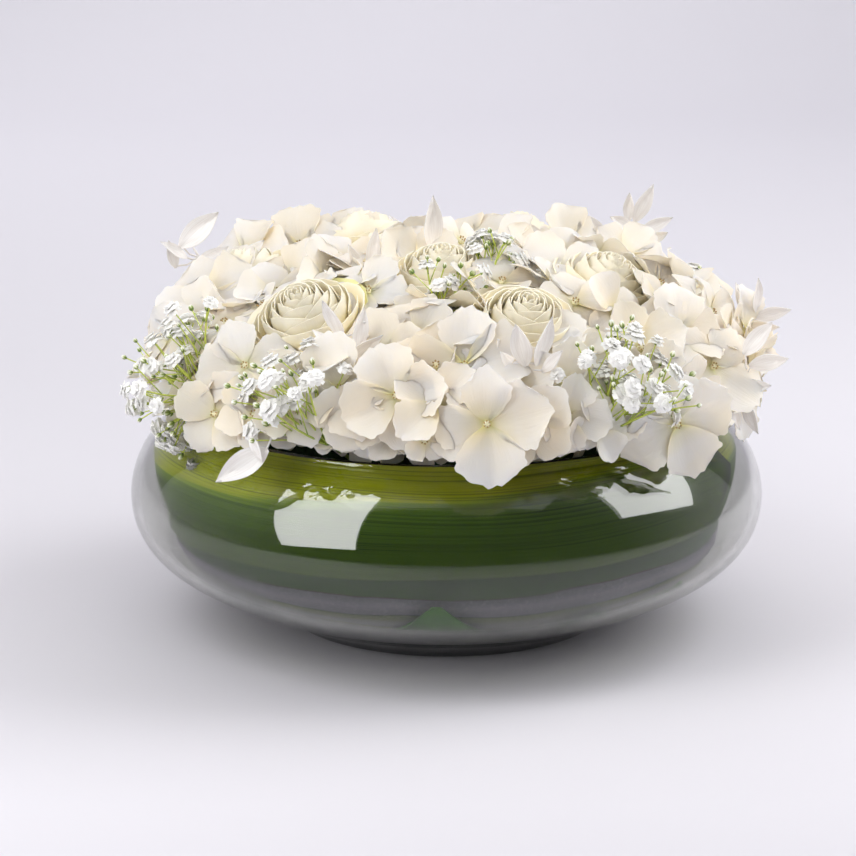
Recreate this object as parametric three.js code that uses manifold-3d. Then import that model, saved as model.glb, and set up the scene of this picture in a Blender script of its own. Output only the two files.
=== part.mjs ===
// A low round glass bowl lined with green leaves and filled with a mound of white hydrangeas, cream roses,
// gypsophila and bleached ruscus, all standing in a cake of floral foam.
// Millimetres, +Z up, origin under the foot.
import * as THREE from "three";
import { mergeVertices } from "three/addons/utils/BufferGeometryUtils.js";
import Module from "manifold-3d";

const wasm = await Module();
wasm.setup();

// Driving dimensions of the bowl
const BOWL_RADIUS = 150;
const BOWL_HEIGHT = 105;
const WIDEST_HEIGHT = 62;
const RIM_RADIUS = 126;
const FOOT_RADIUS = 73;
const GLASS_WALL = 4;
const FLOOR_HEIGHT = 9;
const FLOOR_RADIUS = 64;
const BOWL_SIDES = 36;

// Driving dimensions of the lining leaves: the step is the angle between two columns of a leaf's grid
const LEAF_THICKNESS = 0.7;
const LINING_LOW = 55;
const LINING_HIGH = 98;
const LINING_RADIUS = 133;
const UNDER_LOW = 19;
const UNDER_HIGH = 58;
const UNDER_BEND = 29;
const UNDER_TOP_RADIUS = 127;
const LEAF_STEP = 20;

// Driving dimensions of the mound of flowers: its outline is a flattened dome
const MOUND_RADIUS = 141;
const MOUND_BASE = 108;
const MOUND_RISE = 69;
const MOUND_POWER = 2.4;
const RING_COUNT = 16;
const RING_RADIUS = 138;
const RING_HEIGHT = 124;
const LOWEST_AREA = 0.98;
const FLORET_RADIUS = 26;
const SEPAL_THICKNESS = 0.9;
const CORE_RADIUS = 14;

// Driving dimensions of the foam, the stems and the other flowers
const FOAM_RADIUS = 80;
const FOAM_TOP = 94;
const STEM_RADIUS = 2.4;
const TWIG_RADIUS = 0.9;
const ROSE_RADIUS = 25;
const BALL_RADIUS = 4.4;
const RUSCUS_LEAF = 28;
const CLEARANCE = 0.3;
const GOLDEN_ANGLE = Math.PI * (3 - Math.sqrt(5));

const LOOKS = {
  glass: { color: 0xdfe8e6, roughness: 0.03, metalness: 0, transparent: true, opacity: 0.3 },
  foam: { color: 0x2f4a2a, roughness: 0.95, metalness: 0 },
  stripedLeaf: { color: 0x4a6b1c, roughness: 0.45, metalness: 0 },
  greyLeaf: { color: 0x6b6c6e, roughness: 0.6, metalness: 0 },
  whiteSepal: { color: 0xf4f0e6, roughness: 0.6, metalness: 0 },
  creamPetal: { color: 0xf6efcf, roughness: 0.55, metalness: 0 },
  greenStem: { color: 0x5f7a2a, roughness: 0.6, metalness: 0 },
  gypsophila: { color: 0xfaf9f2, roughness: 0.7, metalness: 0 },
  bleachedLeaf: { color: 0xefe9e4, roughness: 0.5, metalness: 0 },
};

// Leaves spring outwards against the shoulder and stand upright below it, each a little further in than the
// one that it overlaps
const LINING_LEAVES = [
  { from: -180, to: -20, offset: 0.8 },
  { from: -60, to: 100, offset: 2 },
  { from: 80, to: 220, offset: 3.2 },
];
const UNDER_LEAVES = [
  { from: -180, to: 0, offset: 2.3 },
  { from: 20, to: 160, offset: 2.3 },
];
const LEAF_CUTS = [
  { azimuth: -89, height: 37, half: 20, rise: 15 },
  { azimuth: -60, height: 30, half: 17, rise: 7 },
  { azimuth: -42, height: 37, half: 9, rise: 10 },
  { azimuth: 110, height: 34, half: 15, rise: 10 },
];

// A place is an azimuth in degrees (0 is the right, -90 the front) and a distance from the axis
const HYDRANGEAS = [
  { azimuth: -86, radius: 84 },
  { azimuth: -38, radius: 92 },
  { azimuth: -151, radius: 92 },
  { azimuth: 153, radius: 92 },
  { azimuth: 92, radius: 90 },
  { azimuth: 34, radius: 92 },
  { azimuth: 180, radius: 38 },
  { azimuth: 8, radius: 40 },
];
const HEAD_HEIGHT = 114;
const ROSES = [
  { azimuth: -129, radius: 101, size: 1.05 },
  { azimuth: -70, radius: 99, size: 1 },
  { azimuth: -93, radius: 44, size: 0.95 },
  { azimuth: -24, radius: 80, size: 0.95 },
  { azimuth: 122, radius: 76, size: 1 },
  { azimuth: 62, radius: 76, size: 0.95 },
  { azimuth: 178, radius: 96, size: 0.95 },
];
const GYPSOPHILAS = [
  { azimuth: -165, radius: 136, size: 1.35, florets: 13 },
  { azimuth: -119, radius: 134, size: 1, florets: 9 },
  { azimuth: -53, radius: 133, size: 1.2, florets: 11 },
  { azimuth: -50, radius: 30, size: 0.8, florets: 6 },
  { azimuth: -108, radius: 76, size: 0.65, florets: 5 },
  { azimuth: 58, radius: 132, size: 1, florets: 8 },
  { azimuth: 122, radius: 133, size: 1, florets: 8 },
  { azimuth: 14, radius: 122, size: 0.8, florets: 6 },
];
// A spray's free end rises from its place along the given lean (0 upright, 90 level)
const RUSCUS = [
  { azimuth: 166, radius: 114, lean: 32, reach: 20, leaves: 5 },
  { azimuth: -150, radius: 22, lean: 20, reach: 10, leaves: 5 },
  { azimuth: 30, radius: 112, lean: 12, reach: 22, leaves: 6 },
  { azimuth: 33, radius: 70, lean: 8, reach: 12, leaves: 4 },
  { azimuth: 8, radius: 136, lean: 55, reach: 14, leaves: 6 },
  { azimuth: -22, radius: 138, lean: 76, reach: 14, leaves: 6 },
  { azimuth: -80, radius: 122, lean: 14, reach: 12, leaves: 4 },
  { azimuth: -108, radius: 112, lean: 30, reach: 12, leaves: 4 },
  { azimuth: 98, radius: 124, lean: 45, reach: 18, leaves: 6 },
  { azimuth: -121, radius: 137, lean: 108, reach: 8, leaves: 2 },
];

const UP = new THREE.Vector3(0, 0, 1);
const ORIGIN = new THREE.Vector3(0, 0, 0);
const radians = THREE.MathUtils.degToRad;

function polar(azimuth, radius, height) {
  return new THREE.Vector3(radius * Math.cos(azimuth), radius * Math.sin(azimuth), height);
}

// The same number between 0 and 1 each time for the same seed
function chance(seed) {
  const wave = Math.sin(seed * 12.9898 + 4.1414) * 43758.5453;
  return wave - Math.floor(wave);
}

function geometryOf(points, faces) {
  const geometry = new THREE.BufferGeometry().setFromPoints(points);
  return geometry.setIndex(faces.flat());
}

// A closed solid from a geometry, moved by a matrix
function solidOf(geometry, matrix = new THREE.Matrix4()) {
  const bare = new THREE.BufferGeometry();
  bare.setAttribute("position", geometry.getAttribute("position").clone());
  const index = geometry.index;
  const merged = mergeVertices(index ? bare.setIndex(index) : bare, 1e-3).applyMatrix4(matrix);
  return new wasm.Manifold(
    new wasm.Mesh({
      numProp: 3,
      vertProperties: merged.attributes.position.array,
      triVerts: new Uint32Array(merged.index.array),
    }),
  );
}

// The largest closed body of a solid: a loose scrap that a cut leaves is dropped
function mainBody(solid) {
  return solid.decompose().sort((a, b) => b.volume() - a.volume())[0];
}

const joined = (pieces) => mainBody(wasm.Manifold.union(pieces));

// Each placed piece is remembered with its node's name, so that a later one can be kept clear of it
const centrepiece = new THREE.Group();
const placed = [];

function keep(node, solid) {
  placed.push({ node, solid, box: solid.boundingBox() });
  return solid;
}

function boxesMeet(a, b) {
  return [0, 1, 2].every((k) => a.min[k] < b.max[k] + CLEARANCE && b.min[k] < a.max[k] + CLEARANCE);
}

function apart(solid, other) {
  return (
    !boxesMeet(solid.boundingBox(), other.boundingBox()) || solid.minGap(other, CLEARANCE) >= CLEARANCE
  );
}

function isClear(node, solid) {
  const box = solid.boundingBox();
  return placed.every(
    (other) => other.node === node || !boxesMeet(box, other.box) || apart(solid, other.solid),
  );
}

function addNode(name, solid, look) {
  const mesh = solid.getMesh();
  const geometry = new THREE.BufferGeometry();
  const corners = Array.from({ length: mesh.numVert }, (_, i) => [...mesh.position(i)]).flat();
  geometry.setAttribute("position", new THREE.Float32BufferAttribute(corners, 3));
  geometry.setIndex([...mesh.triVerts]);
  geometry.computeVertexNormals();
  const node = new THREE.Mesh(geometry, new THREE.MeshStandardMaterial(LOOKS[look]));
  node.name = name;
  centrepiece.add(node);
}

// A point on the dome and its outward normal: share 0 is the crown and 1 the equator
function moundAt(share, azimuth) {
  const angle = (share * Math.PI) / 2;
  const power = 2 / MOUND_POWER;
  const [sine, cosine] = [Math.sin(angle), Math.max(Math.cos(angle), 0)];
  const point = polar(azimuth, MOUND_RADIUS * sine ** power, MOUND_BASE + MOUND_RISE * cosine ** power);
  const outward = sine ** (2 - power) / MOUND_RADIUS;
  const normal = polar(azimuth, outward, cosine ** (2 - power) / MOUND_RISE).normalize();
  return { point, normal };
}

function moundAtRadius(radius, azimuth) {
  const sine = Math.min(1, radius / MOUND_RADIUS) ** (MOUND_POWER / 2);
  return moundAt((2 / Math.PI) * Math.asin(sine), azimuth);
}

// A frame whose z axis is the given direction, turned about it by a spin
function frameAt(origin, direction, spin = 0) {
  const turn = new THREE.Quaternion().setFromUnitVectors(UP, direction.clone().normalize());
  const twist = new THREE.Quaternion().setFromAxisAngle(UP, spin);
  return new THREE.Matrix4().compose(origin, turn.multiply(twist), new THREE.Vector3(1, 1, 1));
}

// A thin blade from its outline, its inner points and its triangles, which are alike on both faces
function blade(outline, inner, triangles, thickness) {
  const top = [...outline, ...inner];
  const bottom = top.map((p) => p.clone().setZ(p.z - thickness));
  const low = top.length;
  const faces = triangles.flatMap(([a, b, c]) => [[a, b, c], [low + c, low + b, low + a]]);
  outline.forEach((_, a) => {
    const b = (a + 1) % outline.length;
    faces.push([a, low + a, low + b], [a, low + b, b]);
  });
  return geometryOf([...top, ...bottom], faces);
}

// A thin blade on a grid: surface(u, v) with u and v from 0 to 1, thickened equally to both sides
function gridBlade(surface, columns, rows, thickness) {
  const step = 1e-3;
  const sides = [[], []];
  for (let j = 0; j <= rows; j++) {
    for (let i = 0; i <= columns; i++) {
      const [u, v] = [i / columns, j / rows];
      const along = surface(Math.min(u + step, 1), v).sub(surface(Math.max(u - step, 0), v));
      const across = surface(u, Math.min(v + step, 1)).sub(surface(u, Math.max(v - step, 0)));
      const normal = along.cross(across).normalize();
      sides[0].push(surface(u, v).addScaledVector(normal, thickness / 2));
      sides[1].push(surface(u, v).addScaledVector(normal, -thickness / 2));
    }
  }
  const wide = columns + 1;
  const low = sides[0].length;
  const faces = [];
  for (let j = 0; j < rows; j++) {
    for (let i = 0; i < columns; i++) {
      const a = j * wide + i;
      faces.push([a, a + 1, a + wide + 1], [a, a + wide + 1, a + wide]);
      faces.push([low + a, low + a + wide + 1, low + a + 1], [low + a, low + a + wide, low + a + wide + 1]);
    }
  }
  const border = [
    ...Array.from({ length: columns }, (_, i) => i),
    ...Array.from({ length: rows }, (_, j) => j * wide + columns),
    ...Array.from({ length: columns }, (_, i) => rows * wide + columns - i),
    ...Array.from({ length: rows }, (_, j) => (rows - j) * wide),
  ];
  border.forEach((a, i) => {
    const b = border[(i + 1) % border.length];
    faces.push([a, low + a, low + b], [a, low + b, b]);
  });
  return geometryOf(sides.flat(), faces);
}

// A straight round rod between two points
function rod(from, to, radius, sides) {
  const along = to.clone().sub(from);
  const geometry = new THREE.CylinderGeometry(radius, radius, along.length(), sides);
  geometry.rotateX(Math.PI / 2).translate(0, 0, along.length() / 2);
  return solidOf(geometry, frameAt(from, along));
}

// The bowl's outside: a belly that swells from the foot, and a shoulder that curves in to the rim
const p2 = (radius, height) => new THREE.Vector2(radius, height);
const BELLY = new THREE.CubicBezierCurve(
  p2(FOOT_RADIUS + 4, 2.5), p2(93, 17.6), p2(BOWL_RADIUS, 21.9), p2(BOWL_RADIUS, WIDEST_HEIGHT));
const SHOULDER = new THREE.CubicBezierCurve(
  p2(BOWL_RADIUS, WIDEST_HEIGHT), p2(BOWL_RADIUS, 77.5), p2(139.5, 93.5), p2(RIM_RADIUS, 102));
const OUTSIDE = [...BELLY.getPoints(4), ...SHOULDER.getPoints(3).slice(1)];

// The inside follows the outside, one wall's thickness in
const INSIDE = OUTSIDE.map((point, i) => {
  const before = OUTSIDE[Math.max(i - 1, 0)];
  const after = OUTSIDE[Math.min(i + 1, OUTSIDE.length - 1)];
  const along = after.clone().sub(before).normalize();
  return p2(point.x - GLASS_WALL * along.y, point.y + GLASS_WALL * along.x);
}).filter((point) => point.y > FLOOR_HEIGHT + 2);

function insideRadius(height) {
  const found = INSIDE.slice(1, -1).findIndex((point) => point.y >= height);
  const index = found < 0 ? INSIDE.length - 1 : found + 1;
  const [below, above] = [INSIDE[index - 1], INSIDE[index]];
  return THREE.MathUtils.mapLinear(height, below.y, above.y, below.x, above.x);
}

function glassBowl() {
  const profile = [
    p2(0, 0), p2(FOOT_RADIUS, 0), ...OUTSIDE,
    p2(RIM_RADIUS - 1.5, BOWL_HEIGHT), ...[...INSIDE].reverse(), p2(FLOOR_RADIUS, FLOOR_HEIGHT),
    p2(0, FLOOR_HEIGHT),
  ];
  return solidOf(new THREE.LatheGeometry(profile, BOWL_SIDES).rotateX(Math.PI / 2));
}

addNode("glass_bowl", keep("glass_bowl", glassBowl()), "glass");

// A lining leaf's columns lie on the bowl's own corners: it follows the wall at its top and is upright below
function liningLeaf({ from, to, offset }) {
  const surface = (u, v) => {
    const height = LINING_LOW + (LINING_HIGH - LINING_LOW) * v;
    const radius = Math.min(insideRadius(height), LINING_RADIUS) - offset;
    return polar(radians(from + (to - from) * u), radius, height);
  };
  return solidOf(gridBlade(surface, (to - from) / LEAF_STEP, 2, LEAF_THICKNESS));
}

// An under leaf lies on the belly's slope, and its upper edge passes inside the lining leaves
function underLeaf({ from, to, offset }) {
  const surface = (u, v) => {
    const height = UNDER_LOW + (UNDER_HIGH - UNDER_LOW) * v;
    const share = Math.max(0, height - UNDER_BEND) / (UNDER_HIGH - UNDER_BEND);
    const lean = (insideRadius(UNDER_HIGH) - offset - UNDER_TOP_RADIUS) * share;
    return polar(radians(from + (to - from) * u), insideRadius(height) - offset - lean, height);
  };
  return solidOf(gridBlade(surface, (to - from) / LEAF_STEP, 3, LEAF_THICKNESS));
}

// A cut-off leaf tip is a pointed scrap between the under leaf and the glass
function leafCut({ azimuth, height, half, rise }) {
  const surface = (u, v) => {
    const z = height + (v - 0.5) * rise;
    const radius = insideRadius(z) - 1.05;
    return polar(radians(azimuth) + ((2 * u - 1) * half * (1 - 0.8 * v)) / radius, radius, z);
  };
  return solidOf(gridBlade(surface, 2, 1, 0.6));
}

LINING_LEAVES.forEach((leaf, i) => {
  const name = `lining_leaf_${i + 1}`;
  addNode(name, keep(name, liningLeaf(leaf)), "stripedLeaf");
});
UNDER_LEAVES.forEach((leaf, i) => {
  const name = `under_leaf_${i + 1}`;
  addNode(name, keep(name, underLeaf(leaf)), "greyLeaf");
});
LEAF_CUTS.forEach((cut, i) => {
  const name = `leaf_cut_${i + 1}`;
  addNode(name, keep(name, leafCut(cut)), "stripedLeaf");
});

// Every stem stands in the foam, in a plain hole a little wider and deeper than itself
const foamHoles = [];

function boreFor(foot, above, radius, sides) {
  const along = above.clone().sub(foot).normalize();
  foamHoles.push(rod(foot.clone().addScaledVector(along, -CLEARANCE), above, radius + 2 * CLEARANCE, sides));
}

// A hydrangea's stem ends in a shallow cup, which its core sits in
const heads = HYDRANGEAS.map(({ azimuth, radius }, i) => {
  const name = `hydrangea_${i + 1}`;
  const angle = radians(azimuth);
  const centre = polar(angle, radius, HEAD_HEIGHT + (radius < 60 ? 12 : 0));
  const foot = polar(angle, radius * 0.45, FOAM_TOP - 36);
  const ball = new THREE.OctahedronGeometry(1, 0).rotateZ(angle);
  const sized = (size) => solidOf(ball, frameAt(centre, UP).scale(new THREE.Vector3(size, size, size)));
  boreFor(foot, centre, STEM_RADIUS, 5);
  const stem = mainBody(rod(foot, centre, STEM_RADIUS, 5).subtract(sized(CORE_RADIUS + 2 * CLEARANCE)));
  addNode(`${name}_stem`, keep(`${name}_stem`, stem), "greenStem");
  return { name, centre, forks: [], pieces: [keep(name, sized(CORE_RADIUS))], florets: [] };
});

// A rose is one body. Its surface climbs the outside of a ring of petals, turns over their edges, dips to
// the next ring and ends in the bud. In a ring each petal laps the next like a tile, one edge out, one in.
const ROSE_COLUMNS = 15;
const PLAIN = { petals: 5, lap: 0, dip: 0, turn: 0 };
const OUTER_RING = { petals: 5, lap: 0.15, dip: 0.2, turn: 0 };
const MIDDLE_RING = { petals: 5, lap: 0.14, dip: 0.13, turn: 36 };
const INNER_RING = { petals: 3, lap: 0.2, dip: 0.1, turn: 60 };
const ROSE_BOTTOM = -0.74;
const ROSE_ROWS = [
  { reach: 0.17, height: -0.7, ring: PLAIN },
  { reach: 0.74, height: -0.2, ring: { ...OUTER_RING, dip: 0 } },
  { reach: 1.06, height: 0.04, ring: OUTER_RING },
  { reach: 0.97, height: 0.08, ring: OUTER_RING },
  { reach: 0.5, height: -0.16, ring: { ...PLAIN, turn: 18 } },
  { reach: 0.72, height: 0.3, ring: MIDDLE_RING },
  { reach: 0.65, height: 0.33, ring: MIDDLE_RING },
  { reach: 0.3, height: 0.02, ring: { ...PLAIN, turn: 48 } },
  { reach: 0.42, height: 0.44, ring: INNER_RING },
  { reach: 0.35, height: 0.46, ring: INNER_RING },
];

function rosePoint({ reach, height, ring }, column, radius) {
  const middle = (1 - ring.petals / ROSE_COLUMNS) / 2;
  const across = ((column * ring.petals) / ROSE_COLUMNS) % 1;
  const side = (across - middle) / middle;
  const edge = ring.lap > 0 ? 7 * side : 0;
  const angle = radians((360 * column) / ROSE_COLUMNS + ring.turn + edge);
  const lapped = reach * (1 - ring.lap * across);
  return polar(angle, radius * lapped, radius * (height - ring.dip * side * side));
}

function roseBloom(radius) {
  const points = ROSE_ROWS.flatMap((row) =>
    Array.from({ length: ROSE_COLUMNS }, (_, column) => rosePoint(row, column, radius)));
  const faces = [];
  const [bottom, bud] = [points.length, points.length + 1];
  const last = (ROSE_ROWS.length - 1) * ROSE_COLUMNS;
  for (let column = 0; column < ROSE_COLUMNS; column++) {
    const next = (column + 1) % ROSE_COLUMNS;
    faces.push([bottom, next, column], [last + column, last + next, bud]);
    for (let start = 0; start < last; start += ROSE_COLUMNS) {
      const [a, b] = [start + column, start + next];
      faces.push([a, b, b + ROSE_COLUMNS], [a, b + ROSE_COLUMNS, a + ROSE_COLUMNS]);
    }
  }
  points.push(new THREE.Vector3(0, 0, ROSE_BOTTOM * radius), new THREE.Vector3(0, 0, 0.16 * radius));
  return geometryOf(points, faces);
}

ROSES.forEach(({ azimuth, radius, size }, i) => {
  const name = `rose_${i + 1}`;
  const bloomRadius = ROSE_RADIUS * size;
  const { point, normal } = moundAtRadius(radius, radians(azimuth));
  const centre = point.addScaledVector(normal, -8);
  const foot = polar(radians(azimuth), radius / 2, FOAM_TOP - 28);
  const axis = centre.clone().sub(foot).normalize();
  const bloom = solidOf(roseBloom(bloomRadius), frameAt(centre, axis, i * GOLDEN_ANGLE));
  addNode(name, keep(name, bloom), "creamPetal");

  const length = centre.distanceTo(foot) + ROSE_BOTTOM * bloomRadius - CLEARANCE;
  const profile = [p2(0, 0), p2(STEM_RADIUS, 0), p2(STEM_RADIUS, length - 7), p2(4, length), p2(0, length)];
  const stem = solidOf(new THREE.LatheGeometry(profile, 6).rotateX(Math.PI / 2), frameAt(foot, axis));
  boreFor(foot, foot.clone().addScaledVector(axis, length / 2), STEM_RADIUS, 5);
  addNode(`${name}_stem`, keep(`${name}_stem`, stem), "greenStem");
});

// A thin stem runs straight out of the foam to its knee, curves to its fork and may go on straight to a tip.
// Its foot swings round the axis to the first place where the stem is clear of the others.
const SWINGS = [0, 8, -8, 16, -16, 24, -24, 32, -32, 40, -40, 50, -50, 60, -60];

function thinStem(name, angle, fork, tip) {
  const reach = Math.hypot(fork.x, fork.y);
  const kneeReach = Math.max(reach - 22, 0.6 * reach);
  const kneeHeight = Math.min(fork.z - 4, 126);
  const section = new THREE.Shape([0, 1, 2, 3].map((k) => {
    const corner = polar((k * Math.PI) / 2, TWIG_RADIUS, 0);
    return p2(corner.x, corner.y);
  }));
  for (const swing of SWINGS) {
    const foot = polar(angle + radians(swing), Math.max(0.42 * reach, 9), FOAM_TOP - 20);
    const knee = polar(angle + radians(swing * 0.4), kneeReach, kneeHeight);
    const control = knee.clone().add(knee.clone().sub(foot).setLength(knee.distanceTo(fork) * 0.5));
    const path = new THREE.CurvePath();
    path.add(new THREE.LineCurve3(foot, knee));
    path.add(new THREE.QuadraticBezierCurve3(knee, control, fork));
    if (tip) path.add(new THREE.LineCurve3(fork, tip));
    const steps = tip ? 7 : 5;
    const tube = new THREE.ExtrudeGeometry(section, { extrudePath: path, steps, bevelEnabled: false });
    const stem = solidOf(tube);
    if (isClear(name, stem)) {
      boreFor(foot, foot.clone().lerp(knee, 0.8), TWIG_RADIUS, 4);
      return keep(name, stem);
    }
  }
  throw new Error(`${name} has no free way down`);
}

// A double floret as a ruffled bell on its own twig, which runs from the fork
function gypsophilaFloret(tip, direction, fork) {
  const matrix = frameAt(tip, direction);
  const ruffle = [0, 1, 2, 3, 4, 5, 6, 7].map((k) =>
    polar((k * Math.PI) / 4, BALL_RADIUS * (k % 2 ? 0.74 : 1), k % 2 ? -0.6 : 0.8));
  const waist = [0, 1, 2, 3].map((k) => polar((k * Math.PI) / 2 - Math.PI / 4, 0.8, -3.4));
  const points = [new THREE.Vector3(0, 0, BALL_RADIUS * 0.75), ...ruffle, ...waist].map((p) =>
    p.applyMatrix4(matrix));
  points.push(fork);
  const faces = ruffle.map((_, i) => [0, 1 + i, 1 + ((i + 1) % 8)]);
  waist.forEach((_, k) => {
    const [q, r] = [9 + k, 9 + ((k + 1) % 4)];
    const [before, tipHere, after] = [1 + ((2 * k + 7) % 8), 1 + 2 * k, 2 + 2 * k];
    faces.push([q, tipHere, before], [q, r, tipHere], [r, after, tipHere], [q, 13, r]);
  });
  return solidOf(geometryOf(points, faces));
}

GYPSOPHILAS.forEach(({ azimuth, radius, size, florets }, i) => {
  const name = `gypsophila_${i + 1}`;
  const angle = radians(azimuth);
  const { point, normal } = moundAtRadius(radius, angle);
  const fork = point.addScaledVector(normal, -16);
  const pieces = [thinStem(name, angle, fork)];
  pieces.push(keep(name, solidOf(new THREE.OctahedronGeometry(1.6, 0), frameAt(fork, normal))));
  for (let k = 0; k < florets; k++) {
    const spread = 0.25 + 1.1 * Math.sqrt((k + 0.5) / florets);
    const local = polar(k * GOLDEN_ANGLE + i, Math.sin(spread), Math.cos(spread));
    const direction = local.applyMatrix4(frameAt(ORIGIN, normal));
    for (const stretch of [1, 1.15, 0.85]) {
      const length = size * stretch * (23 + 6 * Math.cos(3 * k));
      const floret = gypsophilaFloret(fork.clone().addScaledVector(direction, length), direction, fork);
      if (isClear(name, floret)) {
        pieces.push(keep(name, floret));
        break;
      }
    }
  }
  addNode(name, joined(pieces), "gypsophila");
});

// Bleached ruscus: a thin stem that rises out of the mound, with pointed leaves along its free end
const sprays = RUSCUS.map(({ azimuth, radius, lean, reach, leaves }, i) => {
  const name = `ruscus_${i + 1}`;
  const angle = radians(azimuth);
  const { point } = moundAtRadius(radius, angle);
  const lift = polar(angle, Math.sin(radians(lean)), Math.cos(radians(lean)));
  const base = point.addScaledVector(lift, -6);
  const tip = base.clone().addScaledVector(lift, reach + 6);
  const pieces = [thinStem(name, angle, base, tip)];
  return { name, base, tip, lift, leaves, pieces, seed: i };
});

// One floret: four broad sepals in one cupped sheet, on a stalk that tapers into the head's core
function sepalOutline(radius, seed) {
  return [0, 1, 2, 3].flatMap((k) => {
    const middle = (k * Math.PI) / 2;
    const rise = radius * (0.05 + 0.3 * chance(4 * seed + k));
    const length = radius * (0.88 + 0.12 * chance(seed + 7 * k));
    return [
      polar(middle - Math.PI / 4, 0.36 * radius, 0),
      polar(middle - 0.58, 0.84 * length, 0.7 * rise),
      polar(middle, length, rise),
      polar(middle + 0.58, 0.84 * length, 0.7 * rise),
    ];
  });
}

function floretSolid(outline, matrix, stalkEnd) {
  const drop = (p) => p.clone().setZ(p.z - SEPAL_THICKNESS);
  const neck = [0, 1, 2, 3].map((k) => drop(polar((k * Math.PI) / 2 - Math.PI / 4, 1.6, 0)));
  const local = [ORIGIN, ...outline, ...outline.map(drop), ...neck];
  const points = [...local.map((p) => p.clone().applyMatrix4(matrix)), stalkEnd];
  const low = outline.length;
  const ring = 1 + 2 * low;
  const faces = outline.flatMap((_, i) => {
    const [a, b] = [1 + i, 1 + ((i + 1) % low)];
    return [[0, a, b], [a, low + a, low + b], [a, low + b, b]];
  });
  neck.forEach((_, k) => {
    const start = 1 + low + 4 * k;
    const next = 1 + low + ((4 * k + 4) % low);
    const [q, r] = [ring + k, ring + ((k + 1) % 4)];
    faces.push([q, start + 1, start], [q, start + 2, start + 1], [q, r, start + 2]);
    faces.push([r, start + 3, start + 2], [r, next, start + 3], [q, ring + 4, r]);
  });
  return solidOf(geometryOf(points, faces));
}

// A floret joins its head where it is clear of all other pieces and its sheet crosses no other floret.
// Its stalk runs to the core, or branches off one of the stalks beside it.
const NEAR_FORKS = 2;
const FORK_SHARE = 0.7;

function tryFloret(head, point, facing, radius, spin, seed) {
  const clearOf = (solid, part) => head.florets.every((other) => apart(solid, other[part]));
  const outward = point.clone().sub(head.centre).normalize();
  const core = head.centre.clone().addScaledVector(outward, CORE_RADIUS * 0.35);
  const outline = sepalOutline(radius, seed);
  const matrix = frameAt(point, facing, spin);
  const fan = outline.map((_, a) => [outline.length, a, (a + 1) % outline.length]);
  const sheet = solidOf(blade(outline, [ORIGIN], fan, SEPAL_THICKNESS), matrix);
  if (!isClear(head.name, sheet) || !clearOf(sheet, "whole")) return false;
  const distance = (fork) => fork.distanceTo(point);
  const beside = head.forks.toSorted((a, b) => distance(a) - distance(b)).slice(0, NEAR_FORKS);
  return [core, ...beside].some((stalkEnd) => {
    const whole = floretSolid(outline, matrix, stalkEnd);
    if (!isClear(head.name, whole) || !clearOf(whole, "sheet")) return false;
    head.florets.push({ whole, sheet });
    head.forks.push(point.clone().lerp(stalkEnd, FORK_SHARE));
    head.pieces.push(keep(head.name, whole));
    return true;
  });
}

function nearestHead(point) {
  return heads.reduce((a, b) => (a.centre.distanceTo(point) < b.centre.distanceTo(point) ? a : b));
}

// Large florets hang over the rim: the facing leans from outwards (0) to upwards (1)
const RIM_FLORETS = [
  { azimuth: -84, radius: 139, height: 121, upward: 0.12, size: 27, spin: 45 },
  { azimuth: -40, radius: 141, height: 112, upward: 0.1, size: 28, spin: 30 },
  { azimuth: -137, radius: 139, height: 115, upward: 0.1, size: 26, spin: 20 },
  { azimuth: -64, radius: 138, height: 118, upward: 0.1, size: 24, spin: 60 },
  { azimuth: -105, radius: 138, height: 118, upward: 0.1, size: 25, spin: 10 },
  { azimuth: -122, radius: 128, height: 120, upward: 0.2, size: 24, spin: 30 },
];

RIM_FLORETS.forEach(({ azimuth, radius, height, upward, size, spin }, i) => {
  const point = polar(radians(azimuth), radius, height);
  const facing = polar(radians(azimuth), 1, upward).normalize();
  const head = nearestHead(point);
  const sizes = [1, 0.9, 0.8, 0.7, 0.6].map((scale) => size * scale);
  sizes.some((floretRadius) => tryFloret(head, point, facing, floretRadius, radians(spin), 500 + i));
});

// At a place on the dome the largest floret is taken that finds room, out in front of it or behind it
const LIFTS = [0, 4, -5, -10, -18];
const SPINS = [0, 30, 60];
const SPIN_STEP = 97;

function placeFloret({ point, normal }, scales, seed) {
  const head = nearestHead(point);
  const outward = point.clone().sub(head.centre).normalize();
  const facing = normal.clone().lerp(outward, 0.4).normalize();
  return scales.some((scale) => LIFTS.some((lift) => SPINS.some((spin) => {
    const place = point.clone().addScaledVector(normal, lift);
    return tryFloret(head, place, facing, FLORET_RADIUS * scale, radians(spin + SPIN_STEP * seed), seed);
  })));
}

// A ring of florets closes the mound all round, just above the rim
for (let i = 0; i < RING_COUNT; i++) {
  const angle = (2 * Math.PI * i) / RING_COUNT;
  const place = { point: polar(angle, RING_RADIUS, RING_HEIGHT), normal: polar(angle, 1, 0.1).normalize() };
  placeFloret(place, [1, 0.85, 0.7], 300 + i);
}

// The other florets are spread evenly: equal areas down the dome, turned by the golden angle
const MERIDIAN_STEPS = 200;
const meridian = [0];
for (let k = 1; k <= MERIDIAN_STEPS; k++) {
  const before = moundAt((k - 1) / MERIDIAN_STEPS, 0).point;
  const now = moundAt(k / MERIDIAN_STEPS, 0).point;
  meridian.push(meridian[k - 1] + ((now.x + before.x) / 2) * now.distanceTo(before));
}

function shareOfArea(area) {
  const wanted = area * meridian[MERIDIAN_STEPS];
  const k = meridian.findIndex((value) => value >= wanted);
  return (k - 1 + (wanted - meridian[k - 1]) / (meridian[k] - meridian[k - 1])) / MERIDIAN_STEPS;
}

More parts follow.
